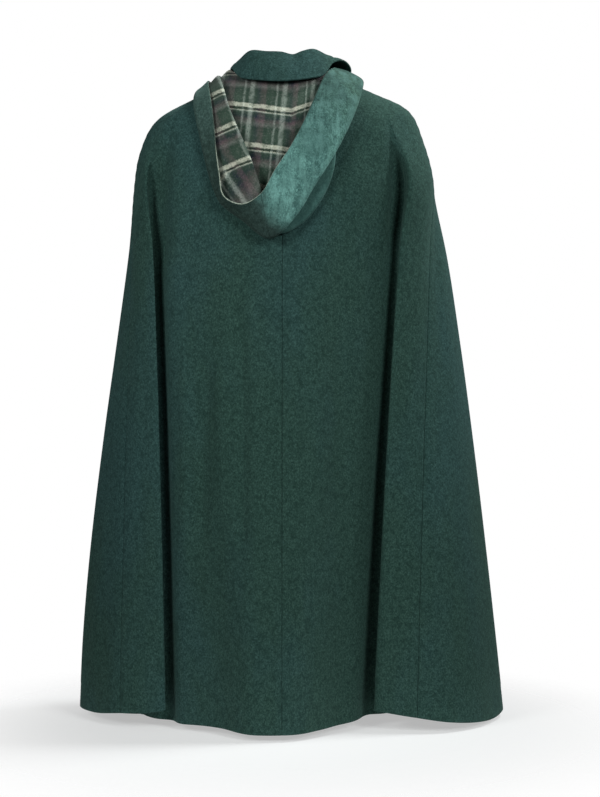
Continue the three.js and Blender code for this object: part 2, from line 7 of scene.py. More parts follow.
import logging
import math
from dataclasses import dataclass
from enum import Enum
from typing import NamedTuple, Sequence

import bpy
import numpy as np
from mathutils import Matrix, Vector
from mathutils.kdtree import KDTree


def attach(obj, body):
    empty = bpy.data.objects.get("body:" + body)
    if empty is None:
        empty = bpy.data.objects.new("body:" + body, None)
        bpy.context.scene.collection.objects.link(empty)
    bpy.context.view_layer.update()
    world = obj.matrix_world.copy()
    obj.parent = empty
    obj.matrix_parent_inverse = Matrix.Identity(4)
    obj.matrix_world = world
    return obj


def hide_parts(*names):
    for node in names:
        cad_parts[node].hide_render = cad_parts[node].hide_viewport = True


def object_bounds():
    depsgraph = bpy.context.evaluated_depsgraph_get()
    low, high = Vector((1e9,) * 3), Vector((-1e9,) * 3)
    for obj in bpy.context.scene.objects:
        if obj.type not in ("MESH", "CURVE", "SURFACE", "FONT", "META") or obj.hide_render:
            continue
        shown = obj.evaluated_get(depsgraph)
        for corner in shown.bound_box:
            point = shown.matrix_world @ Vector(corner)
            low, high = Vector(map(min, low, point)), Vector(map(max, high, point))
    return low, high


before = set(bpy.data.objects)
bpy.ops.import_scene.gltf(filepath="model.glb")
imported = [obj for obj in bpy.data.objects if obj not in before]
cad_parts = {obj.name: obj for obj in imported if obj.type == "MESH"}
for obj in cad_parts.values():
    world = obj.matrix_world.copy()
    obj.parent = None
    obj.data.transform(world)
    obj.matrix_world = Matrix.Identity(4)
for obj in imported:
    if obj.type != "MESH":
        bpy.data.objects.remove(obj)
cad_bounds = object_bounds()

logging.basicConfig(level=logging.INFO, format="%(message)s")
log = logging.getLogger("cape")

MM = 0.001
TINY = 1e-4
SPECK = 1e-12
PROBE = 1e-3
INSET_SHARE = 1.5

Field = np.ndarray
Color = tuple[float, float, float]


# The tables that the garment's form is drawn from


class Ring(NamedTuple):
    """One oval ring of the yoke: half widths, depths and its height at four places."""

    left: float
    right: float
    back: float
    front: float
    z_left: float
    z_right: float
    z_back: float
    z_front: float


class Fold(NamedTuple):
    """One fold line: its turn on the yoke, its tuck there, its place on the hem, its ease and its belly."""

    name: str
    turn: float
    tuck: float
    x: float
    y: float
    z: float
    ease: float
    belly: float = 0.0


class CollarSection(NamedTuple):
    """One section of the collar: its roll line and its free edge, out and up from the neck seam."""

    turn: float
    roll_out: float
    roll_up: float
    edge_out: float
    edge_up: float


class HoodSection(NamedTuple):
    """One section of the hood. Each line holds two coordinates and the cloth's lift off the body."""

    neck: float
    plan: bool
    nape: tuple[float, float, float]
    under: tuple[float, float, float]
    pleat: tuple[float, float, float]
    strip: tuple[float, float, float]
    fold: tuple[float, float, float]
    rim: tuple[float, float, float]


OVAL_POWER = 0.85
BELLY_PEAK = 6.75
YOKE_RINGS = [
    Ring(72, 72, 60, 78, 4, 4, 0, -62),
    Ring(143, 148, 87, 100, -34, -26, -42, -95),
    Ring(205, 202, 103, 122, -70, -53.5, -84, -128),
    Ring(229, 224, 110, 133, -118, -100, -128, -165),
    Ring(238, 241, 113, 138, -172, -166, -175, -200),
]
FOLDS = [
    Fold("centre_back", 0, 0, 0, 154, -1018, 0.9),
    Fold("left_bulge", 11, 0, 45, 150, -1018, 0.9),
    Fold("left_trough_edge", 18, 0, 68, 134, -1018, 0.85),
    Fold("left_trough", 25, 1, 93, 107, -1017, 0.85),
    Fold("left_flat", 33, 0, 129, 82, -1017, 0.85),
    Fold("left_ridge", 41, 0, 164, 63, -1018, 0.85),
    Fold("left_under", 51, 8, 196, 40, -1017, 0.75),
    Fold("left_valley", 56, 18, 222, 18, -1012, 0.7),
    Fold("left_return", 58.5, 12, 204, 41, -1003, 0.7),
    Fold("left_crest", 61, -5, 182, 66, -996, 0.55),
    Fold("left_flute", 71, 0, 216, 65, -1002, 0.75),
    Fold("left_side_seam", 90, 0, 258, 46, -1005, 0.85, 0.04),
    Fold("left_flute_end", 96, 0, 303, -8, -1014, 0.88, 0.08),
    Fold("left_side", 103, 0, 334, -62, -1014, 0.88, 0.1),
    Fold("left_front_corner", 112, 0, 322, -122, -1010, 0.88, 0.05),
    Fold("left_front_ridge", 124, 0, 282, -160, -1006, 0.85),
    Fold("left_front_valley", 136, 2, 236, -150, -1006, 0.85),
    Fold("left_front_slope", 147, 0, 192, -168, -1004, 0.85),
    Fold("left_front_crest", 156, 0, 146, -208, -1003, 0.85),
    Fold("left_front_flat", 164, 0, 100, -197, -1004, 0.85),
    Fold("left_front_edge", 172, 0, 52, -200, -1004, 0.9),
    Fold("centre_front", 180, 0, 0, -206, -1004, 0.9),
    Fold("right_front_edge", 188, 0, -52, -200, -1004, 0.9),
    Fold("right_front_flat", 196, 0, -104, -192, -1005, 0.85),
    Fold("right_front_crest", 205, 0, -158, -203, -1005, 0.85),
    Fold("right_front_slope", 214, 0, -206, -166, -1008, 0.85),
    Fold("right_front_valley", 225, 2, -252, -150, -1010, 0.85),
    Fold("right_front_ridge", 237, 0, -302, -158, -1012, 0.85),
    Fold("right_front_corner", 249, 0, -346, -118, -1015, 0.76),
    Fold("right_side", 258, 0, -359, -56, -1017, 0.73),
    Fold("right_flute_end", 263, 0, -338, 0, -1022, 0.73),
    Fold("right_flute_outer", 267, 0, -300, 54, -1018, 0.77),
    Fold("right_flute_crown", 270, 0, -254, 86, -1011, 0.85),
    Fold("right_side_seam", 276, 0, -208, 90, -1004, 0.8),
    Fold("right_flute", 292, 0, -174, 82, -1000, 0.75),
    Fold("right_crest", 308, -5, -142, 65, -997, 0.7),
    Fold("right_return", 310.5, 14, -156, 43, -1001, 0.7),
    Fold("right_valley", 313, 22, -170, 22, -1008, 0.7),
    Fold("right_under", 319, 12, -146, 32, -1012, 0.75),
    Fold("right_panel", 333, 0, -104, 70, -1015, 0.85),
    Fold("right_middle", 343, 0, -66, 108, -1017, 0.88),
    Fold("right_bulge", 352, 0, -30, 142, -1018, 0.9),
]
LOWER_STEPS = [0.12, 0.3, 0.5, 0.7, 0.86, 1]

COLLAR_SECTIONS = [
    CollarSection(-167, 4, 10, 33, -30),
    CollarSection(-150, 4, 12, 38, -24),
    CollarSection(-128, 4, 14, 38, -10),
    CollarSection(-105, 5, 18, 38, 3),
    CollarSection(-88, 8, 23, 36, 11),
    CollarSection(-70, 10, 25, 29, 18),
    CollarSection(-52, 10, 26, 25, 12),
    CollarSection(-33, 8, 33, 31, -11),
    CollarSection(-19, 8, 29.5, 32, -17),
    CollarSection(-9, 5, 24.5, 33, -20),
    CollarSection(1, 7, 28, 34, -22),
    CollarSection(15, 7, 29, 33, -20),
    CollarSection(35, 7, 31, 30, -14),
    CollarSection(60, 3, 21, 18, 4),
    CollarSection(80, 3, 17, 12, 8),
    CollarSection(100, 3, 16, 15, 2),
    CollarSection(125, 4, 14, 30, -8),
    CollarSection(150, 4, 12, 38, -24),
    CollarSection(167, 4, 10, 33, -30),
]

HOOD_SECTIONS = [
    HoodSection(116, True, (75, -38, 4), (81, -41, 4), (86, -43, 4.5),
                (91, -45, 5), (99, -47, 6.5), (94, -44, 11)),
    HoodSection(102, True, (84, -18, 8), (94, -19, 9), (102, -20, 9),
                (112, -22, 8.4), (127, -23, 7.5), (112, -21, 13)),
    HoodSection(84, True, (85, 14, 14), (100, 20, 10), (101, 24, 12),
                (116, 18, 8.5), (136, 9, 5), (118, 11, 14)),
    HoodSection(66, False, (82, -10, 4.5), (103, -25, 7.2), (95, -20, 16),
                (117, -42, 9), (136, -57, 8), (112, -41, 17)),
    HoodSection(48, False, (66, -40, 4.5), (92, -72, 7.2), (81, -68, 17),
                (106, -84, 9.5), (129, -92, 7), (106, -81, 16.5)),
    HoodSection(33, False, (50, -66, 5), (79, -117, 7.2), (63, -111, 18.5),
                (94, -128, 11), (118, -140, 7.5), (101, -130, 19)),
    HoodSection(22, False, (38, -82, 5), (69, -150, 7.2), (50, -142, 19),
                (84, -164, 12), (109, -174, 8), (96, -165, 22)),
    HoodSection(14, False, (26, -94, 5), (58, -182, 7.2), (39, -172, 20),
                (72, -196, 12), (93, -211, 10), (88, -203, 27)),
    HoodSection(6, False, (14, -100, 5), (40, -207, 7.2), (30, -200, 16),
                (50, -224, 11), (62, -236, 14), (60, -216, 32)),
    HoodSection(-2, False, (2, -104, 5), (9, -257, 7), (14, -236, 12),
                (16, -248, 15), (19, -266, 21), (32, -201, 33)),
    HoodSection(-12, False, (-10, -104, 5), (-31, -240, 7), (-8, -216, 12),
                (-13, -223, 16), (-20, -232, 22), (10, -164, 33)),
    HoodSection(-24, False, (-24, -92, 5), (-62, -199, 7), (-32, -174, 12),
                (-38, -182, 16), (-46, -189, 21), (-12, -130, 31)),
    HoodSection(-38, False, (-46, -60, 5), (-79, -148, 7), (-64, -128, 12),
                (-68, -132, 16), (-76, -141, 21), (-31, -94, 28)),
    HoodSection(-52, False, (-62, -34, 5), (-76, -57, 5.5), (-88, -74, 8.5),
                (-94, -81, 11), (-100, -94, 16), (-48, -54, 23)),
    HoodSection(-66, False, (-76, -9, 5), (-87, -20, 5), (-98, -30, 5),
                (-107, -40, 7), (-116, -52, 12), (-66, -10, 18)),
    HoodSection(-82, True, (-83, 12, 4), (-91, 13, 4), (-100, 14, 4.5),
                (-112, 15, 6), (-126, 15, 9), (-85, 25, 14)),
    HoodSection(-100, True, (-83, -20, 4), (-91, -21, 4), (-99, -22, 4.5),
                (-108, -22, 5), (-121, -22, 6.5), (-102, -20, 11)),
    HoodSection(-114, True, (-75, -37, 4), (-81, -40, 4), (-86, -42, 4.5),
                (-91, -44, 5), (-99, -46, 6.5), (-94, -43, 11)),
]
HOOD_LINES = ("nape", "under", "pleat", "strip", "fold", "rim")
HOOD_TURNS = ("under", "pleat", "fold")
HOOD_KNOTS = 13
HOOD_SEAM_SECTION = 9


# Curves, grids and meshes


def span_point(before: Field, start: Field, end: Field, after: Field, share: Field) -> Field:
    """Finds points on one span of centripetal curves.

    Args:
        before: the knots before the span.
        start: the knots where the span starts.
        end: the knots where it ends.
        after: the knots after it.
        share: how far along the span, from 0 to 1.

    Returns:
        The points, one for each row of the arguments.
    """
    def stretch(a: Field, b: Field) -> Field:
        """The centripetal step between two knots."""
        return np.linalg.norm(b - a, axis=-1, keepdims=True) ** 0.5

    middle = stretch(start, end)
    middle = np.where(middle < TINY, 1.0, middle)
    first = stretch(before, start)
    first = np.where(first < TINY, middle, first)
    last = stretch(end, after)
    last = np.where(last < TINY, middle, last)
    leave = ((start - before) / first - (end - before) / (first + middle) + (end - start) / middle) * middle
    arrive = ((end - start) / middle - (after - start) / (middle + last) + (after - end) / last) * middle
    square = -3 * start + 3 * end - 2 * leave - arrive
    cube = 2 * start - 2 * end + leave + arrive
    return start + share * (leave + share * (square + share * cube))


def curve_point(knots: Field, share: Field) -> Field:
    """Finds points on open curves.

    Args:
        knots: the knots of each curve, (count, knots, 3).
        share: how far along its curve each point is, (count,).

    Returns:
        The points, (count, 3).
    """
    last = knots.shape[-2] - 1
    place = np.clip(share, 0, 1) * last
    index = np.minimum(np.floor(place).astype(int), last - 1)

    def knot(i: Field) -> Field:
        """The knot with each number, held to the curve's ends."""
        return np.take_along_axis(knots, np.clip(i, 0, last)[:, None, None], axis=1)[:, 0]

    start, end = knot(index), knot(index + 1)
    before = np.where((index > 0)[:, None], knot(index - 1), 2 * start - end)
    after = np.where((index + 2 <= last)[:, None], knot(index + 2), 2 * end - start)
    return span_point(before, start, end, after, (place - index)[:, None])


def section_grid(sections: Field, rows: int, columns: int) -> Field:
    """Lays a grid over a run of sections.

    Args:
        sections: the knots of every section, (sections, knots, 3).
        rows: steps along a section.
        columns: steps from the first section to the last.

    Returns:
        The points, (rows + 1, columns + 1, 3).
    """
    knots = np.swapaxes(sections, 0, 1)
    across = np.linspace(0, 1, rows + 1)
    grid = np.zeros((rows + 1, columns + 1, 3))
    for column in range(columns + 1):
        line = curve_point(knots, np.full(len(knots), column / columns))
        grid[:, column] = curve_point(np.broadcast_to(line, (rows + 1, *line.shape)), across)
    return grid


def smooth_step(low: float, high: float, value: Field) -> Field:
    """Rises smoothly from 0 at low to 1 at high."""
    share = np.clip((value - low) / (high - low), 0, 1)
    return share * share * (3 - 2 * share)


def grid_normals(grid: Field) -> Field:
    """Finds the normals of a grid of points from the points beside each, (rows, columns, 3)."""
    along = np.gradient(grid, axis=1)
    across = np.gradient(grid, axis=0)
    normal = np.cross(along, across)
    return normal / np.maximum(np.linalg.norm(normal, axis=-1, keepdims=True), SPECK)


def relax(grid: Field, turns: int) -> Field:
    """Evens out the inner points of a grid, leaving its border as it is."""
    grid = grid.copy()
    for _ in range(turns):
        around = grid[:-2, 1:-1] + grid[2:, 1:-1] + grid[1:-1, :-2] + grid[1:-1, 2:]
        grid[1:-1, 1:-1] = 0.5 * grid[1:-1, 1:-1] + 0.125 * around
    return grid


def edged_columns(grid: Field, margins: Sequence[float]) -> Field:
    """Lays a grid's columns out again, with extra ones at set distances from both side edges.

    Args:
        grid: the points, (rows, columns, numbers). The first three numbers are x, y and z.
        margins: distances from an edge in metres, from 0 upwards.

    Returns:
        The new grid, with len(margins) extra columns at each side.
    """
    run = run_along(grid)
    edge = np.asarray(margins)
    inset = edge[-1] + INSET_SHARE * (edge[-1] - edge[-2])
    rows = []
    for row, length in zip(grid, run):
        inner = inset + (length[-1] - 2 * inset) * length / length[-1]
        places = np.concatenate([edge, inner, length[-1] - edge[::-1]])
        rows.append(np.stack([np.interp(places, length, channel) for channel in row.T], axis=-1))
    return np.array(rows)


def run_along(grid: Field) -> Field:
    """Measures how far each point of a grid lies along its row, (rows, columns)."""
    steps = np.linalg.norm(np.diff(grid[..., :3], axis=1), axis=-1)
    return np.concatenate([np.zeros((len(grid), 1)), np.cumsum(steps, axis=1)], axis=1)


def quads_between(first: Field, second: Field) -> Field:
    """Quads between two equal runs of vertex numbers."""
    return np.stack([first[:-1], first[1:], second[1:], second[:-1]], axis=-1).reshape(-1, 4)


def mesh_object(name: str, points: Field, quads: Field, cloth: Field | None = None) -> bpy.types.Object:
    """Makes a smooth-shaded mesh object.

    Args:
        name: the object's name.
        points: its vertices, (count, 3).
        quads: its faces as vertex numbers, (count, 4).
        cloth: each vertex's place on the flat cloth, (count, 3), where a weave follows it.

    Returns:
        The object, linked to the scene.
    """
    corners = points[quads]
    volume = np.einsum("ij,ij->", corners[:, 0], np.cross(corners[:, 1], corners[:, 2]))
    volume += np.einsum("ij,ij->", corners[:, 0], np.cross(corners[:, 2], corners[:, 3]))
    if volume < 0:
        quads = quads[:, ::-1]
    mesh = bpy.data.meshes.new(name)
    mesh.vertices.add(len(points))
    mesh.vertices.foreach_set("co", points.astype(np.float32).ravel())
    mesh.loops.add(quads.size)
    mesh.loops.foreach_set("vertex_index", quads.astype(np.int32).ravel())
    mesh.polygons.add(len(quads))
    mesh.polygons.foreach_set("loop_start", np.arange(0, quads.size, 4, dtype=np.int32))
    mesh.polygons.foreach_set("use_smooth", np.ones(len(quads), dtype=bool))
    mesh.update(calc_edges=True)
    mesh.validate()
    if cloth is not None:
        layer = mesh.attributes.new("cloth", "FLOAT_VECTOR", "POINT")
        layer.data.foreach_set("vector", cloth.astype(np.float32).ravel())
    piece = bpy.data.objects.new(name, mesh)
    bpy.context.scene.collection.objects.link(piece)
    return piece


def wall_object(
    name: str, outer: Field, inner: Field, cloth: Field | None = None, crisp: bool = False,
) -> bpy.types.Object:
    """Makes a closed wall of cloth between two equal grids of points.

    Args:
        name: the object's name.
        outer: the points of its outer face, (rows, columns, 3).
        inner: the points of its inner face, the same way.
        cloth: each point's place on the flat cloth, the same way.
        crisp: whether its cut edges are flat-shaded, so that they leave no shade on the faces.

    Returns:
        The object, linked to the scene.
    """
    rows, columns = outer.shape[:2]
    layer = rows * columns
    number = np.arange(layer).reshape(rows, columns)
    faces = [quads_between(number[r], number[r + 1]) for r in range(rows - 1)]
    outside = np.concatenate(faces)
    inside = outside[:, ::-1] + layer
    border = np.concatenate([number[0, :], number[1:, -1], number[-1, -2::-1], number[-2::-1, 0]])
    sides = quads_between(border, border + layer)[:, ::-1]
    points = np.concatenate([outer.reshape(-1, 3), inner.reshape(-1, 3)])
    if cloth is not None:
        cloth = np.concatenate([cloth.reshape(-1, 3)] * 2)
    wall = mesh_object(name, points, np.concatenate([outside, inside, sides]), cloth)
    if crisp:
        smooth = np.arange(len(wall.data.polygons)) < len(outside) + len(inside)
        wall.data.polygons.foreach_set("use_smooth", smooth)
    return wall


def tube_object(name: str, path: Field, radius: Field, sides: int) -> bpy.types.Object:
    """Makes a closed tube of changing radius along a path of points."""
    aside = np.array([0.3, 0.9, 0.2])
    way = np.gradient(path, axis=0)
    way /= np.linalg.norm(way, axis=-1, keepdims=True)
    across = np.cross(way, aside)
    across /= np.linalg.norm(across, axis=-1, keepdims=True)
    up = np.cross(way, across)
    turn = np.linspace(0, 2 * math.pi, sides, endpoint=False)
    ring = np.cos(turn)[None, :, None] * across[:, None] + np.sin(turn)[None, :, None] * up[:, None]
    points = path[:, None] + ring * radius[:, None, None]
    number = np.arange(len(path) * sides).reshape(len(path), sides)
    number = np.concatenate([number, number[:, :1]], axis=1)
    quads = np.concatenate([quads_between(number[r], number[r + 1]) for r in range(len(path) - 1)])
    ends = []
    for end in (0, -1):
        points = np.concatenate([points.reshape(-1, 3), path[end][None]])
        middle = np.full(sides + 1, len(points) - 1)
        cap = quads_between(number[end], middle)
        ends.append(cap if end else cap[:, ::-1])
    return mesh_object(name, points, np.concatenate([quads, *ends]))


# The form of the body and of the hood on it


class BodyForm:
    """The body's outer surface: rings of cloth through the fold lines."""

    HALVINGS = 40
    UPPER_PART = 0.55
    TRIED_STEPS = 24
    SEARCH_TURNS = 12
    SEARCH_STRIDE = 0.02

    def __init__(self) -> None:
        """Draws the fold lines from the tables."""
        self.lines = np.array([self._fold_line(fold) for fold in FOLDS])

    @staticmethod
    def ring_point(ring: Ring, turn: float) -> Field:
        """A point on a yoke ring, at a turn in degrees from the centre back."""
        angle = math.radians(turn)
        side, depth = math.sin(angle), math.cos(angle)
        half_width = ring.left if side >= 0 else ring.right
        half_depth = ring.back if depth >= 0 else ring.front
        z_side = ring.z_left if side >= 0 else ring.z_right
        z_depth = ring.z_back if depth >= 0 else ring.z_front
        return np.array([
            math.copysign(half_width * abs(side) ** OVAL_POWER, side),
            math.copysign(half_depth * abs(depth) ** OVAL_POWER, depth),
            z_side + (z_depth - z_side) * depth * depth,
        ]) * MM

    def _fold_line(self, fold: Fold) -> Field:
        """The knots of one fold line, from the neck seam to the hem."""
        points = [self.ring_point(ring, fold.turn) for ring in YOKE_RINGS]
        top = points[-1]
        inward = np.array([0, -1, 0]) if top[1] > 0 else -top * np.array([1, 1, 0])
        top += inward / np.linalg.norm(inward) * fold.tuck * MM
        hem = np.array([fold.x, fold.y, fold.z]) * MM
        for step in LOWER_STEPS:
            spread = step**fold.ease + fold.belly * BELLY_PEAK * step * step * (1 - step)
            opened = np.array([spread, spread, step])
            points.append(top + (hem - top) * opened)
        return np.array(points)

    @staticmethod
    def fold_at(name: str) -> float:
        """How far round the body a fold is, from 0 to 1."""
        return [fold.name for fold in FOLDS].index(name) / len(FOLDS)

    def point(self, around: Field, down: Field) -> Field:
        """Points of the surface.

        Args:
            around: places round the body, in turns from the centre back over the wearer's left.
            down: places from the neck seam, at 0, to the hem, at 1.

        Returns:
            The points, (count, 3).
        """
        place = (around % 1.0) * len(FOLDS)
        index = np.floor(place).astype(int)
        knots = [curve_point(self.lines[(index + k) % len(FOLDS)], down) for k in (-1, 0, 1, 2)]
        return span_point(*knots, (place - index)[:, None])

    def normal(self, around: Field, down: Field) -> Field:
        """Outward normals of the surface, (count, 3)."""
        along = self.point(around + PROBE, down) - self.point(around - PROBE, down)
        below = self.point(around, np.minimum(down + PROBE, 1))
        across = below - self.point(around, np.maximum(down - PROBE, 0))
        normal = np.cross(along, across)
        return normal / np.linalg.norm(normal, axis=-1, keepdims=True)

    def grid(self, around: Field, down: Field) -> Field:
        """A grid of surface points. around is (rows, columns) and down (rows,)."""
        spread = np.broadcast_to(down[:, None], around.shape)
        return self.point(around.ravel(), spread.ravel()).reshape(*around.shape, 3)

    def around_at_x(self, down: Field, x: float) -> Field:
        """Where each height's ring crosses x, near the centre front."""
        low = np.full(len(down), self.fold_at("left_front_edge"))
        high = np.full(len(down), self.fold_at("right_front_edge"))
        for _ in range(self.HALVINGS):
            middle = (low + high) / 2
            beyond = self.point(middle, down)[:, 0] > x
            low = np.where(beyond, middle, low)
            high = np.where(beyond, high, middle)
        return (low + high) / 2

    def resting_points(self, targets: Field, plan: Field) -> tuple[Field, Field]:
        """Finds where lines of the hood rest on the body.

        Args:
            targets: x and z in metres, or x and y in plan, with the lift, (count, 3).
            plan: which targets are in plan, (count,).

        Returns:
            The points at their lift, and the body's normals there.
        """
        axis = np.where(plan, 1, 2)
        corners = (self.fold_at("left_front_corner"), self.fold_at("right_front_corner"))
        seams = (self.fold_at("left_side_seam"), self.fold_at("right_side_seam"))
        left = targets[:, 0] >= 0
        low = np.where(left, 0.0, np.where(plan, corners[1], seams[1]))
        high = np.where(left, np.where(plan, corners[0], seams[0]), 1.0)
        share = np.linspace(0, 1, self.TRIED_STEPS + 1)
        around = np.zeros(len(targets))
        down = np.zeros(len(targets))
        for k in range(len(targets)):
            sweep = low[k] + (high[k] - low[k]) * share
            tried, depths = np.meshgrid(sweep, self.UPPER_PART * share, indexing="ij")
            found = self.point(tried.ravel(), depths.ravel())
            miss = np.hypot(found[:, 0] - targets[k, 0], found[:, axis[k]] - targets[k, 1])
            best = int(np.argmin(miss))
            around[k], down[k] = tried.ravel()[best], depths.ravel()[best]

        def miss_of(a: Field, d: Field) -> Field:
            """How far the raised points are from their targets, (count, 2)."""
            raised = self.point(a, d) + self.normal(a, d) * targets[:, 2:3]
            second = np.take_along_axis(raised, axis[:, None], axis=1)[:, 0]
            return np.stack([raised[:, 0] - targets[:, 0], second - targets[:, 1]], axis=-1)

        most = self.SEARCH_STRIDE
        least_around = np.where(plan, -9.0, np.where(left, -1.0, low))
        most_around = np.where(plan, 9.0, np.where(left, high, 2.0))
        for _ in range(self.SEARCH_TURNS):
            here = miss_of(around, down)
            by_around = (miss_of(around + PROBE, down) - here) / PROBE
            by_down = (miss_of(around, down + PROBE) - here) / PROBE
            area = by_around[:, 0] * by_down[:, 1] - by_around[:, 1] * by_down[:, 0]
            area = np.where(np.abs(area) < SPECK, np.inf, area)
            step_around = (here[:, 0] * by_down[:, 1] - here[:, 1] * by_down[:, 0]) / area
            step_down = (here[:, 1] * by_around[:, 0] - here[:, 0] * by_around[:, 1]) / area
            around = np.clip(around - np.clip(step_around, -most, most), least_around, most_around)
            down = np.clip(down - np.clip(step_down, -most, most), 0, 1)
        normals = self.normal(around, down)
        return self.point(around, down) + normals * targets[:, 2:3], normals


@dataclass
class HoodForm:
    """The middle of the hood's cloth, drawn as sections that rest on the body."""

    body: BodyForm
    neck_out: float = 5.2 * MM
    neck_up: float = 3.2 * MM
    fold_reach: float = 2.5 * MM
    fold_radius: float = 2.9 * MM
    swell: float = 0.15
    swell_from: float = 20 * MM
    swell_share: float = 0.5
    least_lift: float = 3.8 * MM
    ground_per_fold: int = 8
    ground_rows: int = 160

    def _sections(self) -> Field:
        """The points of every section, from the neck seam to the rim, (sections, points, 3)."""
        rows = [(*getattr(section, line), section.plan) for section in HOOD_SECTIONS for line in HOOD_LINES]
        table = np.array(rows, dtype=float)
        points, normals = self.body.resting_points(table[:, :3] * MM, table[:, 3] > 0)
        points = points.reshape(len(HOOD_SECTIONS), len(HOOD_LINES), 3)
        normals = normals.reshape(points.shape)
        sections = []
        for section, spots, ups in zip(HOOD_SECTIONS, points, normals):
            seam = self.body.ring_point(YOKE_RINGS[0], section.neck)
            outward = seam * np.array([1, 1, 0])
            start = seam + outward / np.linalg.norm(outward) * self.neck_out + np.array([0, 0, self.neck_up])
            chain = [start, *spots]
            drawn = [start]
            for k, line in enumerate(HOOD_LINES, start=1):
                if line not in HOOD_TURNS:
                    drawn.append(chain[k])
                    continue
                back = chain[k - 1] - chain[k]
                back /= np.linalg.norm(back)
                ahead = chain[k + 1] - chain[k]
                ahead /= np.linalg.norm(ahead)
                bend = ups[k - 1] * self.fold_radius * (1 + back @ ahead) / 2
                before = chain[k] + back * self.fold_reach - bend
                after = chain[k] + ahead * self.fold_reach + bend
                drawn += [before, chain[k], after]
            fold, rim = chain[-2:]
            puff = ups[-1] * max(np.linalg.norm(rim - fold) - self.swell_from, 0) * self.swell
            drawn.insert(-1, fold + (rim - fold) * self.swell_share + puff)
            sections.append(drawn)
        return np.array(sections)

    def grid(self, rows: int, columns: int) -> Field:
        """The hood's cloth as a grid.

        Args:
            rows: steps from the neck seam to the rim.
            columns: steps from the left shoulder to the right one.

        Returns:
            The points, (rows + 1, columns + 1, 3).
        """
        return self._clear_of_body(section_grid(self._sections(), rows, columns))

    def _clear_of_body(self, grid: Field) -> Field:
        """Lifts every point that lies too near the body."""
        turns = np.linspace(0, 1, len(FOLDS) * self.ground_per_fold, endpoint=False)
        depths = np.linspace(0, self.body.UPPER_PART, self.ground_rows)
        across, length = np.meshgrid(turns, depths)
        ground = self.body.point(across.ravel(), length.ravel())
        normals = self.body.normal(across.ravel(), length.ravel())
        tree = KDTree(len(ground))
        for k, spot in enumerate(ground):
            tree.insert(spot, k)
        tree.balance()
        flat = grid.reshape(-1, 3)
        nearest = np.array([tree.find(spot)[1] for spot in flat])
        lift = np.einsum("ij,ij->i", flat - ground[nearest], normals[nearest])
        short = np.maximum(self.least_lift - lift, 0)
        return (flat + normals[nearest] * short[:, None]).reshape(grid.shape)


# Finishes


class Nodes:
    """Short calls that lay out one material's nodes."""

    def __init__(self, name: str) -> None:
        """Starts an empty material with one surface shader."""
        self.material = bpy.data.materials.new(name)
        self.material.use_nodes = True
        self.tree = self.material.node_tree
        self.tree.nodes.clear()
        self.shader = self.tree.nodes.new("ShaderNodeBsdfPrincipled")
        output = self.tree.nodes.new("ShaderNodeOutputMaterial")
        self.tree.links.new(self.shader.outputs["BSDF"], output.inputs["Surface"])

    def add(self, kind: str, inputs: dict | None = None, **settings: object) -> bpy.types.Node:
        """Adds a node, sets its settings, and fills or links its inputs."""
        node = self.tree.nodes.new(f"ShaderNode{kind}")
        for key, value in settings.items():
            setattr(node, key, value)
        for key, value in (inputs or {}).items():
            self.feed(node.inputs[key], value)
        return node

    def feed(self, socket: bpy.types.NodeSocket, value: object) -> None:
        """Links a socket to a socket, or sets its value."""
        if isinstance(value, bpy.types.NodeSocket):
            self.tree.links.new(value, socket)
        else:
            socket.default_value = value

    def surface(self, values: dict[str, object]) -> None:
        """Links or sets the surface shader's inputs by their names."""
        for key, value in values.items():
            self.feed(self.shader.inputs[key], value)

    def place(self) -> bpy.types.NodeSocket:
        """The point in metres, in the frame of the garment."""
        return self.add("TexCoord").outputs["Object"]

    def cloth(self) -> bpy.types.NodeSocket:
        """The point's place on the flat cloth, in metres."""
        return self.add("Attribute", attribute_name="cloth").outputs["Vector"]

    def stretched(self, vector: object, scale: Sequence[float]) -> bpy.types.NodeSocket:
        """The vector times a scale on each axis."""
        return self.add("VectorMath", {0: vector, 1: tuple(scale)}, operation="MULTIPLY").outputs[0]

    def noise(
        self, vector: object, scale: float, detail: float = 3, roughness: float = 0.5,
    ) -> bpy.types.NodeSocket:
        """Smooth noise from 0 to 1."""
        inputs = {"Vector": vector, "Scale": scale, "Detail": detail, "Roughness": roughness}
        return self.add("TexNoise", inputs).outputs["Fac"]

    def math(self, operation: str, a: object, b: object = 0.0, c: object = 0.0) -> bpy.types.NodeSocket:
        """One sum on numbers."""
        return self.add("Math", {0: a, 1: b, 2: c}, operation=operation).outputs[0]

    def fit(
        self, value: object, low: float, high: float, to_low: float, to_high: float,
    ) -> bpy.types.NodeSocket:
        """Maps a value from one range onto another, held at its ends."""
        inputs = {"Value": value, "From Min": low, "From Max": high, "To Min": to_low, "To Max": to_high}
        return self.add("MapRange", inputs, interpolation_type="SMOOTHSTEP").outputs["Result"]

    def mix(self, share: object, first: object, second: object, blend: str = "MIX") -> bpy.types.NodeSocket:
        """A mix of two colours."""
        node = self.add("Mix", data_type="RGBA", blend_type=blend)
        for socket, value in ((node.inputs[0], share), (node.inputs[6], first), (node.inputs[7], second)):
            self.feed(socket, (*value, 1) if isinstance(value, tuple) else value)
        return node.outputs[2]

    def ramp(self, value: object, stops: Sequence[tuple[float, Color]]) -> bpy.types.NodeSocket:
        """A colour from stops along 0 to 1."""
        node = self.add("ValToRGB", {"Fac": value})
        elements = node.color_ramp.elements
        for k, (position, color) in enumerate(stops):
            element = elements[k] if k < 2 else elements.new(position)
            element.position = position
            element.color = (*color, 1)
        return node.outputs["Color"]

    def bump(
        self, height: object, strength: float, distance: float, under: object = None,
    ) -> bpy.types.NodeSocket:
        """A bumped normal from a height."""
        inputs = {"Height": height, "Strength": strength, "Distance": distance}
        if under is not None:
            inputs["Normal"] = under
        return self.add("Bump", inputs).outputs["Normal"]


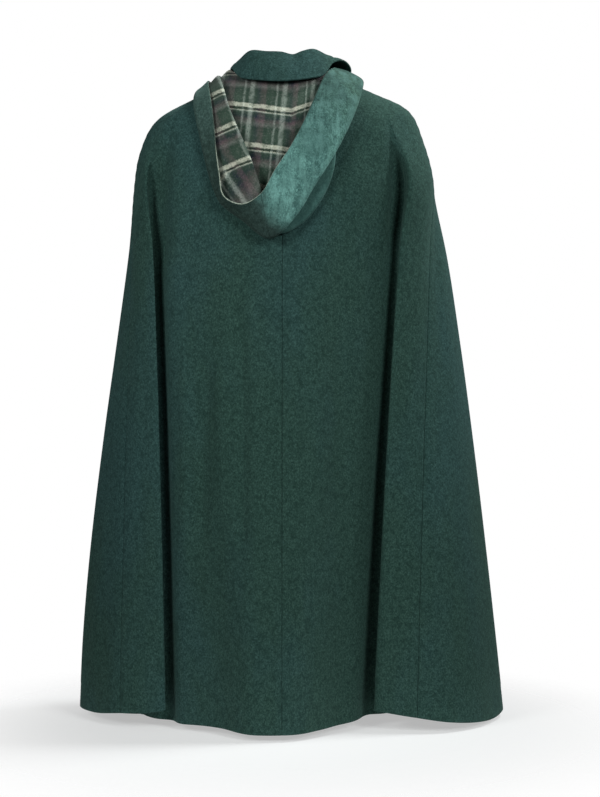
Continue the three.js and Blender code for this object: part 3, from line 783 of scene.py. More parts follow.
@dataclass(frozen=True)
class WoolFinish:
    """Napped wool coating: fibres of three shades, with a soft pile that catches light at its edge."""

    name: str
    deep: Color
    shade: Color
    light: Color
    warm: Color = (0.94, 0.92, 0.74)
    patch_stretch: tuple[float, float, float] = (1, 1, 0.4)
    patch_scale: float = 5.0
    patch: float = 0.8
    grain_scale: float = 330.0
    fibre_scale: tuple[float, float, float] = (900, 900, 320)
    tuft_scale: float = 125
    fleck_scale: float = 640
    pile_scale: float = 240
    hair_scale: tuple[float, float, float] = (1300, 1300, 420)
    patch_range: tuple[float, float] = (0.36, 0.64)
    grain_range: tuple[float, float] = (0.66, 1.34)
    tuft_range: tuple[float, float] = (0.34, 0.52)
    tuft: float = 0.55
    fleck_range: tuple[float, float] = (0.67, 0.78)
    fleck: float = 0.9
    sheen: float = 0.12
    sheen_roughness: float = 0.4
    sheen_tint: Color = (0.45, 0.78, 0.70)
    specular: float = 0.12
    roughness: float = 0.95
    nap: float = 0.36
    pile_depth: float = 1.0 * MM
    hair_depth: float = 0.4 * MM

    def color(self, n: "Nodes") -> bpy.types.NodeSocket:
        """The cloth's own colour: worn patches, clumps of pile, and single light fibres."""
        place = n.place()
        patch = n.noise(n.stretched(place, self.patch_stretch), self.patch_scale, 4, 0.6)
        patch = n.fit(patch, *self.patch_range, 0, 1)
        clump = n.noise(place, self.grain_scale, 4, 0.75)
        fibre = n.noise(n.stretched(place, self.fibre_scale), 1, 3, 0.7)
        grain = n.fit(n.math("ADD", clump, fibre), *self.grain_range, 0, 1)
        color = n.ramp(grain, [(0.0, self.deep), (0.5, self.shade), (1.0, self.light)])
        tuft = n.fit(n.noise(place, self.tuft_scale, 3, 0.6), *self.tuft_range, self.tuft, 0)
        color = n.mix(tuft, color, self.deep)
        color = n.mix(n.math("MULTIPLY", patch, self.patch), color, self.warm, "MULTIPLY")
        fleck = n.fit(n.noise(place, self.fleck_scale, 1, 0.5), *self.fleck_range, 0, self.fleck)
        return n.mix(fleck, color, self.light)

    def material(self) -> bpy.types.Material:
        """Lays out the finish's nodes."""
        n = Nodes(self.name)
        n.surface({
            "Base Color": self.color(n),
            "Roughness": self.roughness,
            "Specular IOR Level": self.specular,
            "Sheen Weight": self.sheen,
            "Sheen Roughness": self.sheen_roughness,
            "Sheen Tint": (*self.sheen_tint, 1),
        })
        place = n.place()
        pile = n.bump(n.noise(place, self.pile_scale, 3, 0.65), self.nap, self.pile_depth)
        hair = n.noise(n.stretched(place, self.hair_scale), 1, 2, 0.7)
        n.surface({"Normal": n.bump(hair, self.nap, self.hair_depth, pile)})
        return n.material


@dataclass(frozen=True)
class HoodWoolFinish(WoolFinish):
    """The hood's brushed wool, mottled on its right, with painted light and shade: a lit teal right side, a
    greyer shaded left, lighter or darker with height, and painted shade underneath.
    """

    # The left side's darker grey-green finish, which paints shade on the hood's left and its tip.
    left: WoolFinish | None = None
    streak_scale: tuple[float, float, float] = (110, 60, 34)
    streak_range: tuple[float, float] = (0.38, 0.66)
    streak: float = 0.6
    worn_scale: float = 26
    worn_range: tuple[float, float] = (0.36, 0.6)
    worn: float = 0.45
    wander_scale: float = 30
    wander: float = 50 * MM
    # Where the lit right side passes into the shaded left: across x, and on a slant down the tip.
    turn: tuple[float, float] = (52 * MM, 8 * MM)
    slant: tuple[float, float] = (272 * MM, 222 * MM)
    height: tuple[float, float] = (-175 * MM, -20 * MM)
    # Painted light and shade by height, from low to high: for the lit right side and for the shaded left
    # side.
    height_light_tones: tuple[float, float] = (1.4, 0.58)
    left_height_light_tones: tuple[float, float] = (0.58, 1.2)
    # Painted shade on the under-layer: from which knot to which it darkens, and how far.
    under_shade_knots: tuple[float, float] = (9.0, 7.5)
    under: float = 0.7

    def color(self, n: "Nodes") -> bpy.types.NodeSocket:
        """The lit right side's colour, passing softly into the left side's painted shade, with painted shade
        on the layer underneath.
        """
        right = super().color(n)
        streak = n.noise(n.stretched(n.place(), self.streak_scale), 1, 4, 0.65)
        streak = n.fit(streak, *self.streak_range, 0, self.streak)
        right = n.mix(streak, right, self.light)
        worn = n.fit(n.noise(n.place(), self.worn_scale, 3, 0.6), *self.worn_range, self.worn, 0)
        right = n.mix(worn, right, self.deep)
        axes = n.add("SeparateXYZ", {0: n.place()}).outputs
        left = self.left.color(n)
        # Painted light and shade: each side made lighter or darker with height.
        right = self._painted_height_light(n, right, axes[2], self.height_light_tones)
        left = self._painted_height_light(n, left, axes[2], self.left_height_light_tones)
        cloud = n.noise(n.place(), self.wander_scale, 3, 0.6)
        wander = n.math("MULTIPLY_ADD", cloud, self.wander, -self.wander / 2)
        lit_side_share = n.fit(n.math("ADD", axes[0], wander), *self.turn, 0, 1)
        slant = n.math("ADD", n.math("SUBTRACT", axes[0], axes[2]), wander)
        below = n.fit(slant, *self.slant, 0, 1)
        # Painted light and shade: the lit right side laid over the shaded left one.
        color = n.mix(n.math("MULTIPLY", lit_side_share, below), left, right)
        # Painted shade on the layer underneath, near the neck seam, from the shell's knots.
        line = n.add("SeparateXYZ", {0: n.cloth()}).outputs[0]
        return n.mix(n.fit(line, *self.under_shade_knots, 0, self.under), color, self.deep)

    def _painted_height_light(
        self, n: "Nodes", color: object, level: object, height_light_tones: tuple[float, float],
    ) -> bpy.types.NodeSocket:
        """Painted light and shade: the colour made lighter or darker with height."""
        height_light = n.fit(level, *self.height, *height_light_tones)
        return n.mix(1.0, color, n.add("CombineColor", {0: height_light, 1: height_light, 2: height_light}).outputs[0], "MULTIPLY")


@dataclass(frozen=True)
class RimFinish(WoolFinish):
    """The edge of the hood's mouth: pale where the lining turns out low down, and plain above."""

    upper: WoolFinish | None = None
    height: tuple[float, float] = (-150 * MM, -112 * MM)
    upper_share: float = 0.85

    def color(self, n: "Nodes") -> bpy.types.NodeSocket:
        """The pale colour low on the mouth, passing into the shell's above."""
        level = n.add("SeparateXYZ", {0: n.place()}).outputs[2]
        share = n.fit(level, *self.height, 0, self.upper_share)
        return n.mix(share, super().color(n), self.upper.color(n))


@dataclass(frozen=True)
class PlaidFinish:
    """Brushed plaid: one run of stripes along the cloth and one across it, blurred by the nap."""

    name: str
    along_repeat: float = 50.5 * MM
    across_repeat: float = 62.5 * MM
    cream: Color = (0.800, 0.810, 0.650)
    pale: Color = (0.380, 0.440, 0.385)
    green: Color = (0.0250, 0.0480, 0.0340)
    leaf: Color = (0.0480, 0.0800, 0.0580)
    olive: Color = (0.0160, 0.0180, 0.0110)
    navy: Color = (0.0130, 0.0170, 0.0310)
    plum: Color = (0.1100, 0.0780, 0.0830)
    grey: Color = (0.1700, 0.1750, 0.1600)
    stirs: tuple[tuple[float, float], ...] = ((900.0, 4.0 * MM), (60.0, 4.0 * MM))
    stir_detail: float = 2.0
    twill_pitch: float = 4200.0
    twill_swing: float = 0.09
    weft_share: float = 0.54
    fuzz_scale: float = 430
    fuzz_pale: tuple[float, float] = (0.52, 0.72)
    fuzz_deep: tuple[float, float] = (0.32, 0.5)
    fuzz: tuple[float, float] = (0.5, 0.7)
    fuzz_depth: float = 0.9 * MM
    nap: float = 0.6
    thin_scale: float = 120
    thin_range: tuple[float, float] = (0.34, 0.52)
    thin: float = 0.5
    roughness: float = 0.95
    specular: float = 0.1
    sheen: float = 0.12
    sheen_roughness: float = 0.5

    def material(self) -> bpy.types.Material:
        """Lays out the finish's nodes."""
        n = Nodes(self.name)
        cloth = n.cloth()
        for scale, reach in self.stirs:
            inputs = {"Vector": n.cloth(), "Scale": scale, "Detail": self.stir_detail}
            stir = n.add("TexNoise", inputs).outputs["Color"]
            stir = n.add("VectorMath", {0: stir, 1: (0.5, 0.5, 0.5)}, operation="SUBTRACT").outputs[0]
            moved = n.stretched(stir, (reach, reach, 0))
            cloth = n.add("VectorMath", {0: cloth, 1: moved}, operation="ADD").outputs[0]
        axes = n.add("SeparateXYZ", {0: cloth})
        along = n.math("FRACT", n.math("DIVIDE", axes.outputs[0], self.along_repeat))
        across = n.math("FRACT", n.math("DIVIDE", axes.outputs[1], self.across_repeat))
        warp = n.ramp(along, [
            (0.00, self.green), (0.08, self.leaf), (0.20, self.green), (0.245, self.pale), (0.30, self.green),
            (0.38, self.green), (0.44, self.pale), (0.51, self.pale), (0.58, self.green),
            (0.70, self.navy), (0.80, self.plum), (0.90, self.plum), (0.96, self.green),
        ])
        weft = n.ramp(across, [
            (0.00, self.leaf), (0.06, self.green), (0.09, self.cream), (0.17, self.cream),
            (0.195, self.olive), (0.24, self.olive), (0.262, self.cream), (0.275, self.pale),
            (0.30, self.green), (0.42, self.navy), (0.50, self.plum), (0.60, self.grey),
            (0.68, self.green), (0.84, self.leaf),
        ])
        slant = n.math("ADD", axes.outputs[0], axes.outputs[1])
        twill = n.math("SINE", n.math("MULTIPLY", slant, self.twill_pitch))
        share = n.math("MULTIPLY_ADD", twill, self.twill_swing, self.weft_share)
        color = n.mix(share, warp, weft)
        fuzz = n.noise(n.place(), self.fuzz_scale, 3, 0.7)
        color = n.mix(n.fit(fuzz, *self.fuzz_pale, 0, self.fuzz[0]), color, self.grey)
        color = n.mix(n.fit(fuzz, *self.fuzz_deep, self.fuzz[1], 0), color, self.green)
        thin = n.noise(n.place(), self.thin_scale, 3, 0.6)
        color = n.mix(n.fit(thin, *self.thin_range, self.thin, 0), color, self.green)
        n.surface({
            "Base Color": color,
            "Roughness": self.roughness,
            "Specular IOR Level": self.specular,
            "Sheen Weight": self.sheen,
            "Sheen Roughness": self.sheen_roughness,
            "Normal": n.bump(fuzz, self.nap, self.fuzz_depth),
        })
        return n.material


@dataclass(frozen=True)
class HornFinish:
    """Dark horn: brown streaks under a satin polish."""

    name: str
    deep: Color = (0.012, 0.008, 0.006)
    light: Color = (0.075, 0.040, 0.022)
    streak_scale: tuple[float, float, float] = (60, 60, 400)
    streak_range: tuple[float, float] = (0.45, 0.7)
    rough_range: tuple[float, float] = (0.3, 0.7)
    roughness: tuple[float, float] = (0.25, 0.42)
    coat: float = 0.3

    def material(self) -> bpy.types.Material:
        """Lays out the finish's nodes."""
        n = Nodes(self.name)
        streak = n.noise(n.stretched(n.place(), self.streak_scale), 1, 4, 0.6)
        n.surface({
            "Base Color": n.mix(n.fit(streak, *self.streak_range, 0, 1), self.deep, self.light),
            "Roughness": n.fit(streak, *self.rough_range, *self.roughness),
            "Coat Weight": self.coat,
        })
        return n.material


class Slot(Enum):
    """The names of the record's material slots, listed beside the hood's finishes."""

    WOOL = "wool"
    HOOD_WOOL = "hood_wool"
    LINING = "lining"


class Held(Enum):
    """How a sheet of cloth is held."""

    HUNG = "hung"
    FOLDED = "folded"


BODY_WOOL = WoolFinish(
    "bottle_green_wool", (0.0105, 0.0310, 0.0290), (0.0225, 0.0570, 0.0540), (0.0480, 0.1080, 0.1020),
)
# The hood's left side, a darker grey-green that paints shade there and at the tip; the rim's upper part takes
# the same colour.
GREY_WOOL = WoolFinish(
    "grey_green_wool", (0.0190, 0.0390, 0.0340), (0.0380, 0.0740, 0.0650), (0.0700, 0.1240, 0.1100),
)
# The hood's right side: a teal far lighter than the body's wool, partly the cloth's own tone and partly
# painted light.
HOOD_WOOL = HoodWoolFinish(
    "hood_wool", (0.0210, 0.0580, 0.0520), (0.0590, 0.1430, 0.1280), (0.1400, 0.2950, 0.2650), left=GREY_WOOL,
)
EDGE_WOOL = RimFinish(
    "pale_edge_wool", (0.16, 0.21, 0.17), (0.36, 0.41, 0.34), (0.60, 0.64, 0.56), upper=GREY_WOOL,
)
LINING_PLAID = PlaidFinish("brushed_plaid")
BUTTON_HORN = HornFinish("dark_horn")


def finish_piece(
    piece: bpy.types.Object,
    material: bpy.types.Material,
    nodes: Sequence[str] = (),
) -> bpy.types.Object:
    """Gives a piece its material, hangs it on the root, and hides the frame's parts that it stands for."""
    piece.data.materials.clear()
    piece.data.materials.append(material)
    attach(piece, "root")
    if nodes:
        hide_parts(*nodes)
    return piece


# Sub-assemblies


class Crease(NamedTuple):
    """A soft trough between two folds, or a ridge where its depth is negative.

    The line runs down through the points, x and z in millimetres.
    """

    first: str
    last: str
    depth: float
    width: float
    line: tuple[tuple[float, float], ...]


CREASES = [
    Crease("centre_back", "left_valley", 9, 18, ((186, -90), (190, -150), (194, -230), (194, -330))),
    Crease("right_return", "right_bulge", 9, 15, ((-182, -60), (-183, -130), (-182, -200), (-178, -300))),
    Crease("centre_back", "left_valley", 13, 15,
           ((204, -250), (199, -426), (194, -559), (189, -728), (184, -1010))),
    Crease("centre_back", "left_under", 6.5, 12, ((66, -380), (62, -500), (61, -640), (63, -800))),
    Crease("centre_back", "left_under", 6, 12, ((118, -470), (123, -600), (128, -780))),
    Crease("centre_back", "left_under", -5, 11, ((151, -440), (150, -600), (152, -790))),
    Crease("centre_back", "left_under", -4, 12, ((94, -470), (92, -590), (93, -720))),
    Crease("centre_back", "left_under", 2, 16, ((30, -560), (26, -700), (28, -900))),
    Crease("right_valley", "right_bulge", 12.5, 17,
           ((-190, -215), (-173, -490), (-162, -637), (-153, -781), (-142, -1010))),
    Crease("right_under", "right_bulge", 2.2, 17, ((-92, -430), (-84, -600), (-70, -820))),
    Crease("right_under", "right_bulge", -2, 15, ((-52, -300), (-48, -480), (-50, -640))),
    Crease("left_crest", "left_side_seam", 2.6, 15, ((215, -420), (222, -620), (226, -900))),
    Crease("left_side_seam", "left_side", -3, 12, ((285, -700), (300, -860), (308, -1000))),
    Crease("right_side_seam", "right_crest", 2.4, 14, ((-172, -380), (-176, -600), (-172, -860))),
    Crease("right_flute_crown", "right_side_seam", -2.5, 13, ((-214, -300), (-226, -560), (-236, -900))),
    Crease("left_front_flat", "left_front_edge", 3, 13, ((70, -360), (74, -560), (80, -820))),
    Crease("left_front_slope", "left_front_flat", -4, 16, ((112, -440), (124, -640), (138, -900))),
    Crease("left_front_ridge", "left_front_slope", 5, 15, ((176, -380), (204, -620), (226, -930))),
    Crease("right_front_edge", "right_front_flat", 2.6, 15, ((-66, -420), (-72, -640), (-84, -880))),
    Crease("right_front_flat", "right_front_slope", -4.5, 15, ((-110, -400), (-132, -600), (-150, -860))),
    Crease("right_front_slope", "right_front_ridge", 5, 17, ((-186, -360), (-214, -600), (-244, -950))),
]
CREASE_FADE = 90 * MM
NEAR_HEM = -1.0


class Wave(NamedTuple):
    """One run of soft waves in the cloth: its height in millimetres, waves round, slant and start."""

    height: float
    waves: float
    slant: float
    start: float


DRAPE_WAVES = [Wave(0.6, 9, 2.1, 0.7), Wave(0.5, 15, -1.7, 2.0)]


@dataclass
class BodyPanels:
    """The four panels of the body, sewn at the centre back and the sides and lapped at the front."""

    form: BodyForm
    cloth: float = 2.5 * MM
    rows: int = 220
    columns_per_fold: int = 10
    lap_columns: int = 12
    lap_half_width: float = 16 * MM
    lap_lift: float = 3.1 * MM
    lap_level: float = 20 * MM
    lap_ramp: float = 42 * MM
    edge_margins: tuple[float, ...] = (0.0, 0.3 * MM, 0.8 * MM, 1.6 * MM, 3.0 * MM)
    edge_round: float = 1.2 * MM
    seam_depth: float = 1.0 * MM
    seam_width: float = 3.2 * MM
    pucker: float = 0.35 * MM
    pucker_length: float = 17 * MM
    hem_turn: float = 38 * MM
    hem_thick: float = 1.8 * MM
    hem_step: float = 1.5 * MM
    hem_show: float = 0.25
    hem_show_step: float = 5 * MM
    pucker_reach: float = 4.0
    drape_from: float = 250 * MM

    def build(self) -> dict[str, bpy.types.Object]:
        """Builds the four panels, by the names of their nodes."""
        fold = self.form.fold_at
        left_seam, right_seam = fold("left_side_seam"), fold("right_side_seam")
        down = np.linspace(0, 1, self.rows + 1)
        back_left = self._even(0.0, left_seam, down)
        back_right = self._even(right_seam, 1.0, down)
        front_left = self._front(left_seam, fold("left_front_edge"), -self.lap_half_width, down)
        front_right = self._front(right_seam, fold("right_front_edge"), self.lap_half_width, down)
        return {
            "back_left": self._panel("back_left_wool", back_left, (True, True)),
            "back_right": self._panel("back_right_wool", back_right, (True, True)),
            "front_left": self._panel("front_left_wool", front_left, (True, False)),
            "front_right": self._panel("front_right_wool", self._lapped(front_right), (True, False)),
        }

    def _even(self, start: float, end: float, down: Field) -> Field:
        """A stretch of the body from one seam to another."""
        count = round(abs(end - start) * len(FOLDS)) * self.columns_per_fold
        around = np.broadcast_to(np.linspace(start, end, count + 1), (len(down), count + 1))
        return self._placed(around, down)

    def _front(self, seam: float, last: float, edge_x: float, down: Field) -> Field:
        """A front panel's grid, from its side seam to its lapped edge."""
        count = round(abs(last - seam) * len(FOLDS)) * self.columns_per_fold
        main = np.broadcast_to(np.linspace(seam, last, count + 1), (len(down), count + 1))
        edge = self.form.around_at_x(down, edge_x)[:, None]
        steps = np.arange(1, self.lap_columns + 1) / self.lap_columns
        return self._placed(np.concatenate([main, last + (edge - last) * steps], axis=1), down)

    def _placed(self, around: Field, down: Field) -> Field:
        """A grid of points, each with its place round the body as a fourth number."""
        return np.concatenate([self.form.grid(around, down), around[..., None]], axis=-1)

    def _lapped(self, grid: Field) -> Field:
        """Lifts the upper front over the lower one."""
        raised = 1 - smooth_step(self.lap_level, self.lap_ramp, np.abs(grid[..., 0]))
        points = grid[..., :3] + self._outward(grid[..., :3]) * (self.lap_lift * raised)[..., None]
        return np.concatenate([points, grid[..., 3:]], axis=-1)

    @staticmethod
    def _outward(grid: Field) -> Field:
        """The grid's normals, turned to point out of the garment."""
        normal = grid_normals(grid)
        middle = grid.mean(axis=(0, 1)) * np.array([1, 1, 0])
        facing = np.einsum("ijk,k->", normal, middle)
        return normal if facing > 0 else -normal

    def _panel(self, name: str, grid: Field, seams: tuple[bool, bool]) -> bpy.types.Object:
        """Makes one panel as a wall of cloth, with its seam edges turned under."""
        grid = edged_columns(grid, self.edge_margins)
        grid = np.swapaxes(edged_columns(np.swapaxes(grid, 0, 1), self.edge_margins), 0, 1)
        around = grid[..., 3]
        grid = grid[..., :3]
        normal = self._outward(grid)
        run = run_along(grid)
        length = run_along(np.swapaxes(grid, 0, 1)).T
        to_hem = length[-1:] - length
        relief = self._curl(to_hem)
        for sewn, distance in zip(seams, (run, run[:, -1:] - run)):
            relief += self._curl(distance)
            if sewn:
                ripple = np.sin(2 * math.pi * length / self.pucker_length)
                relief -= self.seam_depth * np.exp(-distance / self.seam_width)
                relief += self.pucker * ripple * np.exp(-distance / (self.pucker_reach * self.seam_width))
        soft = self._drape(grid) - self._creases(grid, around)
        turned = self.hem_thick * (1 - smooth_step(self.hem_turn, self.hem_turn + self.hem_step, to_hem))
        shown = 1 - smooth_step(self.hem_turn, self.hem_turn + self.hem_show_step, to_hem)
        relief -= self.hem_show * self.hem_thick * shown
        outer = grid + normal * (soft + relief)[..., None]
        inner = grid + normal * (soft - self.cloth - turned)[..., None]
        return wall_object(name, outer, inner)

    def _curl(self, distance: Field) -> Field:
        """How far the face drops as it rounds over an edge at a distance."""
        curl = np.clip(1 - distance / self.edge_round, 0, 1)
        return -self.edge_round * (1 - np.sqrt(1 - curl**2))

    def _drape(self, grid: Field) -> Field:
        """The soft unevenness of hanging wool over the whole panel."""
        x, y, z = np.moveaxis(grid, -1, 0)
        turn = np.arctan2(x, y)
        fade = smooth_step(0.0, self.drape_from, -z)
        lift = sum(w.height * np.sin(turn * w.waves + w.slant * z + w.start) for w in DRAPE_WAVES)
        return MM * lift * fade

    def _creases(self, grid: Field, around: Field) -> Field:
        """How deep the creases cut into the panel at each point."""
        x, _, z = np.moveaxis(grid, -1, 0)
        depth = np.zeros(x.shape)
        for crease in CREASES:
            ends = sorted((self.form.fold_at(crease.first), self.form.fold_at(crease.last)))
            within = np.clip(np.minimum(around - ends[0], ends[1] - around) * len(FOLDS), 0, 1)
            line = np.array(crease.line[::-1]) * MM
            middle = np.interp(z, line[:, 1], line[:, 0])
            runs_out = CREASE_FADE if line[0, 1] < NEAR_HEM else 0
            fade = smooth_step(0, CREASE_FADE, z - line[0, 1] + runs_out)
            fade = fade * smooth_step(0, CREASE_FADE, line[-1, 1] + CREASE_FADE / 2 - z)
            bell = np.exp(-(((x - middle) / (crease.width * MM)) ** 2))
            depth += crease.depth * MM * bell * fade * within
        return depth

    def dress(self, panels: dict[str, bpy.types.Object]) -> None:
        """Dresses the panels."""
        material = BODY_WOOL.material()
        for node, panel in panels.items():
            finish_piece(panel, material, [node])


@dataclass
class Collar:
    """The turned-down collar: a stand up from the neck seam, a roll, and a fall."""

    form: BodyForm
    cloth: float = 2.4 * MM
    base_up: float = 1.7 * MM
    crown: float = 3 * MM
    stand_out: float = 0.25
    stand_up: float = 0.5
    fall_out: float = 0.6
    fall_up: float = 0.5
    rows: int = 72
    columns: int = 260
    flat: tuple[float, float] = (0.46, 0.09)
    area: float = 0.0316

    def _sections(self) -> Field:
        """The knots of every section, (sections, knots, 3)."""
        sections = []
        for section in COLLAR_SECTIONS:
            seam = self.form.ring_point(YOKE_RINGS[0], section.turn)
            outward = seam * np.array([1, 1, 0])
            outward /= np.linalg.norm(outward)
            roll = (section.roll_out * MM, section.roll_up * MM)
            edge = (section.edge_out * MM, section.edge_up * MM)
            fall = (edge[0] - roll[0], edge[1] - roll[1])
            places = [
                (0, 0),
                (self.stand_out * roll[0], self.stand_up * roll[1]),
                (roll[0] - self.crown, roll[1] - self.crown),
                roll,
                (roll[0] + self.crown, roll[1] - self.crown),
                (roll[0] + fall[0] * self.fall_out, roll[1] + fall[1] * self.fall_up),
                edge,
            ]
            level = np.array([0, 0, 1])
            sections.append([seam + outward * out + level * (self.base_up + up) for out, up in places])
        return np.array(sections)

    def build(self) -> bpy.types.Object:
        """Builds the collar as one wall of cloth."""
        grid = section_grid(self._sections(), self.rows, self.columns)
        offset = grid_normals(grid) * (self.cloth / 2)
        return wall_object("collar_wool", grid + offset, grid - offset)

    def dress(self, collar: bpy.types.Object) -> None:
        """Dresses the collar."""
        finish_piece(collar, BODY_WOOL.material(), ["collar"])


@dataclass
class Hood:
    """The hood lying down the back: a wool shell, its plaid lining, and the pale edge of its mouth."""

    form: HoodForm
    shell: float = 2.0 * MM
    lining: float = 1.1 * MM
    half_gap: float = 0.18 * MM
    rows: int = 132
    columns_per_section: int = 12
    evening_turns: int = 3
    flat: tuple[float, float] = (0.36, 0.24)
    strip_knots: tuple[float, float] = (3.9, 4.6)
    nape_along: float = 74.3 * MM
    nape_across: float = -57.6 * MM
    nape_top: float = -75 * MM
    nape_lean: float = 0.09
    nape_slope: float = 0.13
    gather_from: float = -14 * MM
    gather_rise: float = 0.5
    gather_pinch: float = 0.25
    strip_tilt: float = math.radians(19)
    strip_scale: tuple[float, float] = (0.8, 1.065)
    strip_along: float = -10.2 * MM
    strip_across: float = 4.8 * MM
    slack_from: tuple[float, float] = (-135 * MM, -165 * MM)
    slack: tuple[float, float] = (-0.95, 0.8)
    rim_radius: float = 0.8 * MM
    rim_sides: int = 10

    def build(self) -> dict[str, bpy.types.Object]:
        """Builds the two halves of the shell and of the lining, and the rim's edge."""
        columns = (len(HOOD_SECTIONS) - 1) * self.columns_per_section
        grid = relax(self.form.grid(self.rows, columns), self.evening_turns)
        normal = grid_normals(grid)
        cloth = self._cloth(grid)
        seam = HOOD_SEAM_SECTION * self.columns_per_section
        pieces = {}
        # The shell's knots from the neck seam, which its material reads to paint shade on the layer
        # underneath.
        knot = np.linspace(0, HOOD_KNOTS, self.rows + 1)[:, None] * np.ones((1, columns + 1))
        lines = np.stack([knot, 0 * knot, 0 * knot], axis=-1)
        for side, part in (("left", slice(0, seam + 1)), ("right", slice(seam, columns + 1))):
            points, up, flat = grid[:, part], normal[:, part], cloth[:, part]
            pieces[f"hood_shell_{side}"] = wall_object(
                f"hood_shell_{side}_wool",
                points + up * (self.half_gap + self.shell),
                points + up * self.half_gap,
                lines[:, part],
                crisp=True,
            )
            pieces[f"hood_lining_{side}"] = wall_object(
                f"hood_lining_{side}_plaid",
                points - up * (self.half_gap + self.lining),
                points - up * self.half_gap,
                flat,
                crisp=True,
            )
        middle = (self.shell - self.lining) / 2
        rim = grid[-1] + normal[-1] * middle
        radius = np.full(len(rim), self.rim_radius)
        pieces["hood_rim"] = tube_object("hood_rim_edge", rim, radius, self.rim_sides)
        return pieces

    def _cloth(self, grid: Field) -> Field:
        """Each point's place on the plaid: level on the nape, and tilted on the turned strip."""
        x, y, z = np.moveaxis(grid, -1, 0)
        knot = np.linspace(0, HOOD_KNOTS, len(grid))[:, None]
        strip = smooth_step(*self.strip_knots, np.broadcast_to(knot, x.shape))
        gathered = np.maximum(self.gather_from - x, 0)
        along = self.nape_along - x - self.nape_lean * (z - self.nape_top) + self.gather_pinch * gathered
        across = self.nape_across - z + self.nape_slope * x + self.gather_rise * gathered
        level = np.stack([along, across, 0 * x], axis=-1)
        cosine, sine = math.cos(self.strip_tilt), math.sin(self.strip_tilt)
        drop = [z + share * np.maximum(start - z, 0) for start, share in zip(self.slack_from, self.slack)]
        along = self.strip_along + (drop[0] * sine - x * cosine) * self.strip_scale[0]
        across = self.strip_across - (drop[1] * cosine + x * sine) * self.strip_scale[1]
        tilted = np.stack([along, across, 0 * x], axis=-1)
        return level + (tilted - level) * strip[..., None]

    def dress(self, pieces: dict[str, bpy.types.Object]) -> None:
        """Dresses the hood's pieces."""
        wool = HOOD_WOOL.material()
        plaid = LINING_PLAID.material()
        finishes = {
            "hood_shell_left": (wool, Slot.HOOD_WOOL, 0.059),
            "hood_shell_right": (wool, Slot.HOOD_WOOL, 0.061),
            "hood_lining_left": (plaid, Slot.LINING, 0.058),
            "hood_lining_right": (plaid, Slot.LINING, 0.060),
        }
        for node, (material, slot, area) in finishes.items():
            piece = pieces[node]
            finish_piece(piece, material, [node])
        finish_piece(pieces["hood_rim"], EDGE_WOOL.material())


@dataclass
class ThroatButton:
    """The button that closes the lap at the throat."""

    def dress(self) -> None:
        """Gives the button's own solid its horn finish."""
        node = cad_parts["throat_button"]
        node.data.materials.clear()
        node.data.materials.append(BUTTON_HORN.material())


class Lamp(NamedTuple):
    """One soft square light: its place, size, power and the height on the axis that it aims at."""

    name: str
    place: tuple[float, float, float]
    size: float
    power: float
    aim_z: float


LAMPS = [
    Lamp("key", (-1.6, 2.3, 0.6), 1.0, 6.1, -0.4),
    Lamp("fill", (1.5, 1.7, 0.35), 0.8, 4.0, -0.35),
    Lamp("rim", (-1.2, -0.2, 1.3), 0.5, 5.2, -0.2),
]


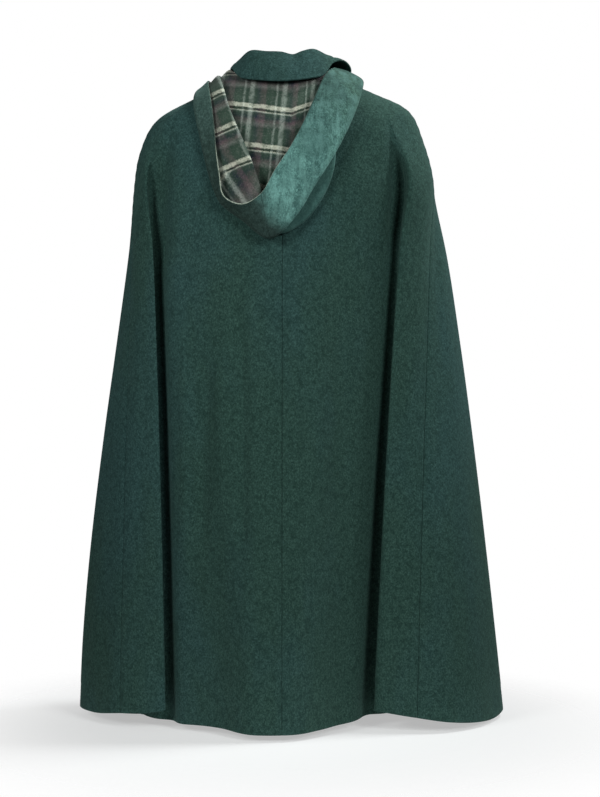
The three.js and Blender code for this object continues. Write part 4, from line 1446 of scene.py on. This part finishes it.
@dataclass
class Studio:
    """The camera, the pale floor and the soft lights."""

    sensor: float = 36.0
    image_height: int = 797
    focal_pixels: float = 1625.0
    camera_at: tuple[float, float, float] = (-0.027, 2.6, -0.51)
    floor_drop: float = 6 * MM
    floor_radius: float = 0.66
    floor_solid: float = 0.26
    floor_sides: int = 96
    floor_color: Color = (0.6, 0.6, 0.6)
    floor_roughness: float = 0.9
    floor_specular: float = 0.1
    floor_glow: float = 0.45
    sky: Color = (1.0, 1.0, 1.0)
    sky_strength: float = 1.0
    sky_glow: float = 0.09
    lamp_color: Color = (0.96, 1.0, 1.0)
    spread: float = math.radians(62)

    def camera(self) -> None:
        """Places the camera square to the back, at the height of the garment's middle."""
        data = bpy.data.cameras.new("camera")
        data.sensor_width = self.sensor
        data.lens = self.sensor * self.focal_pixels / self.image_height
        camera = bpy.data.objects.new("camera", data)
        camera.location = self.camera_at
        camera.rotation_euler = (math.radians(90), 0, math.radians(180))
        bpy.context.scene.collection.objects.link(camera)
        bpy.context.scene.camera = camera

    def floor(self) -> None:
        """Lays a pale round floor under the hem, fading out towards its edge."""
        low = cad_bounds[0][2] - self.floor_drop
        turn = np.linspace(0, 2 * math.pi, self.floor_sides, endpoint=False)
        radii = [TINY, self.floor_radius / 2, self.floor_radius]
        points = np.array([(r * math.cos(t), r * math.sin(t), low) for r in radii for t in turn])
        number = np.arange(len(points)).reshape(len(radii), -1)
        number = np.concatenate([number, number[:, :1]], axis=1)
        quads = np.concatenate([quads_between(number[k], number[k + 1]) for k in range(len(radii) - 1)])
        floor = mesh_object("floor", points, quads)
        n = Nodes("pale_floor")
        n.surface({
            "Base Color": (*self.floor_color, 1),
            "Roughness": self.floor_roughness,
            "Specular IOR Level": self.floor_specular,
            "Emission Color": (1, 1, 1, 1),
            "Emission Strength": self.floor_glow,
        })
        level = n.stretched(n.place(), (1, 1, 0))
        reach = n.add("VectorMath", {0: level}, operation="LENGTH").outputs["Value"]
        n.surface({"Alpha": n.fit(reach, self.floor_solid, self.floor_radius, 1, 0)})
        floor.data.materials.append(n.material)

    def hang(self, lamp: Lamp) -> None:
        """Hangs one soft square light, turned to a height on the garment's axis."""
        data = bpy.data.lights.new(lamp.name, "AREA")
        data.size = lamp.size
        data.energy = lamp.power
        data.color = self.lamp_color
        data.spread = self.spread
        light = bpy.data.objects.new(lamp.name, data)
        light.location = lamp.place
        aim = Vector((0, 0, lamp.aim_z)) - Vector(lamp.place)
        light.rotation_euler = aim.to_track_quat("-Z", "Y").to_euler()
        bpy.context.scene.collection.objects.link(light)

    def light(self) -> None:
        """Lights the garment from the upper right, with a fill at the left and a rim at the right."""
        world = bpy.data.worlds.new("studio")
        world.use_nodes = True
        nodes, links = world.node_tree.nodes, world.node_tree.links
        background = nodes["Background"]
        background.inputs["Color"].default_value = (*self.sky, 1)
        seen = nodes.new("ShaderNodeLightPath").outputs["Is Camera Ray"]
        strength = nodes.new("ShaderNodeMapRange")
        strength.inputs["To Min"].default_value = self.sky_glow
        strength.inputs["To Max"].default_value = self.sky_strength
        links.new(seen, strength.inputs["Value"])
        links.new(strength.outputs["Result"], background.inputs["Strength"])
        bpy.context.scene.world = world
        for lamp in LAMPS:
            self.hang(lamp)
        bpy.context.scene.view_settings.view_transform = "Standard"

    def build(self) -> None:
        """Builds the camera first, then the floor and the lights."""
        self.camera()
        self.floor()
        self.light()


def main() -> None:
    """Builds and dresses every sub-assembly in order."""
    Studio().build()
    form = BodyForm()
    body = BodyPanels(form)
    panels = body.build()
    body.dress(panels)
    collar = Collar(form)
    turned_down = collar.build()
    collar.dress(turned_down)
    hood = Hood(HoodForm(form))
    halves = hood.build()
    hood.dress(halves)
    ThroatButton().dress()
    for piece in (*panels.values(), turned_down, *halves.values()):
        log.info("%s: %d faces", piece.name, len(piece.data.polygons))
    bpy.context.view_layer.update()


if __name__ == "__main__":
    main()
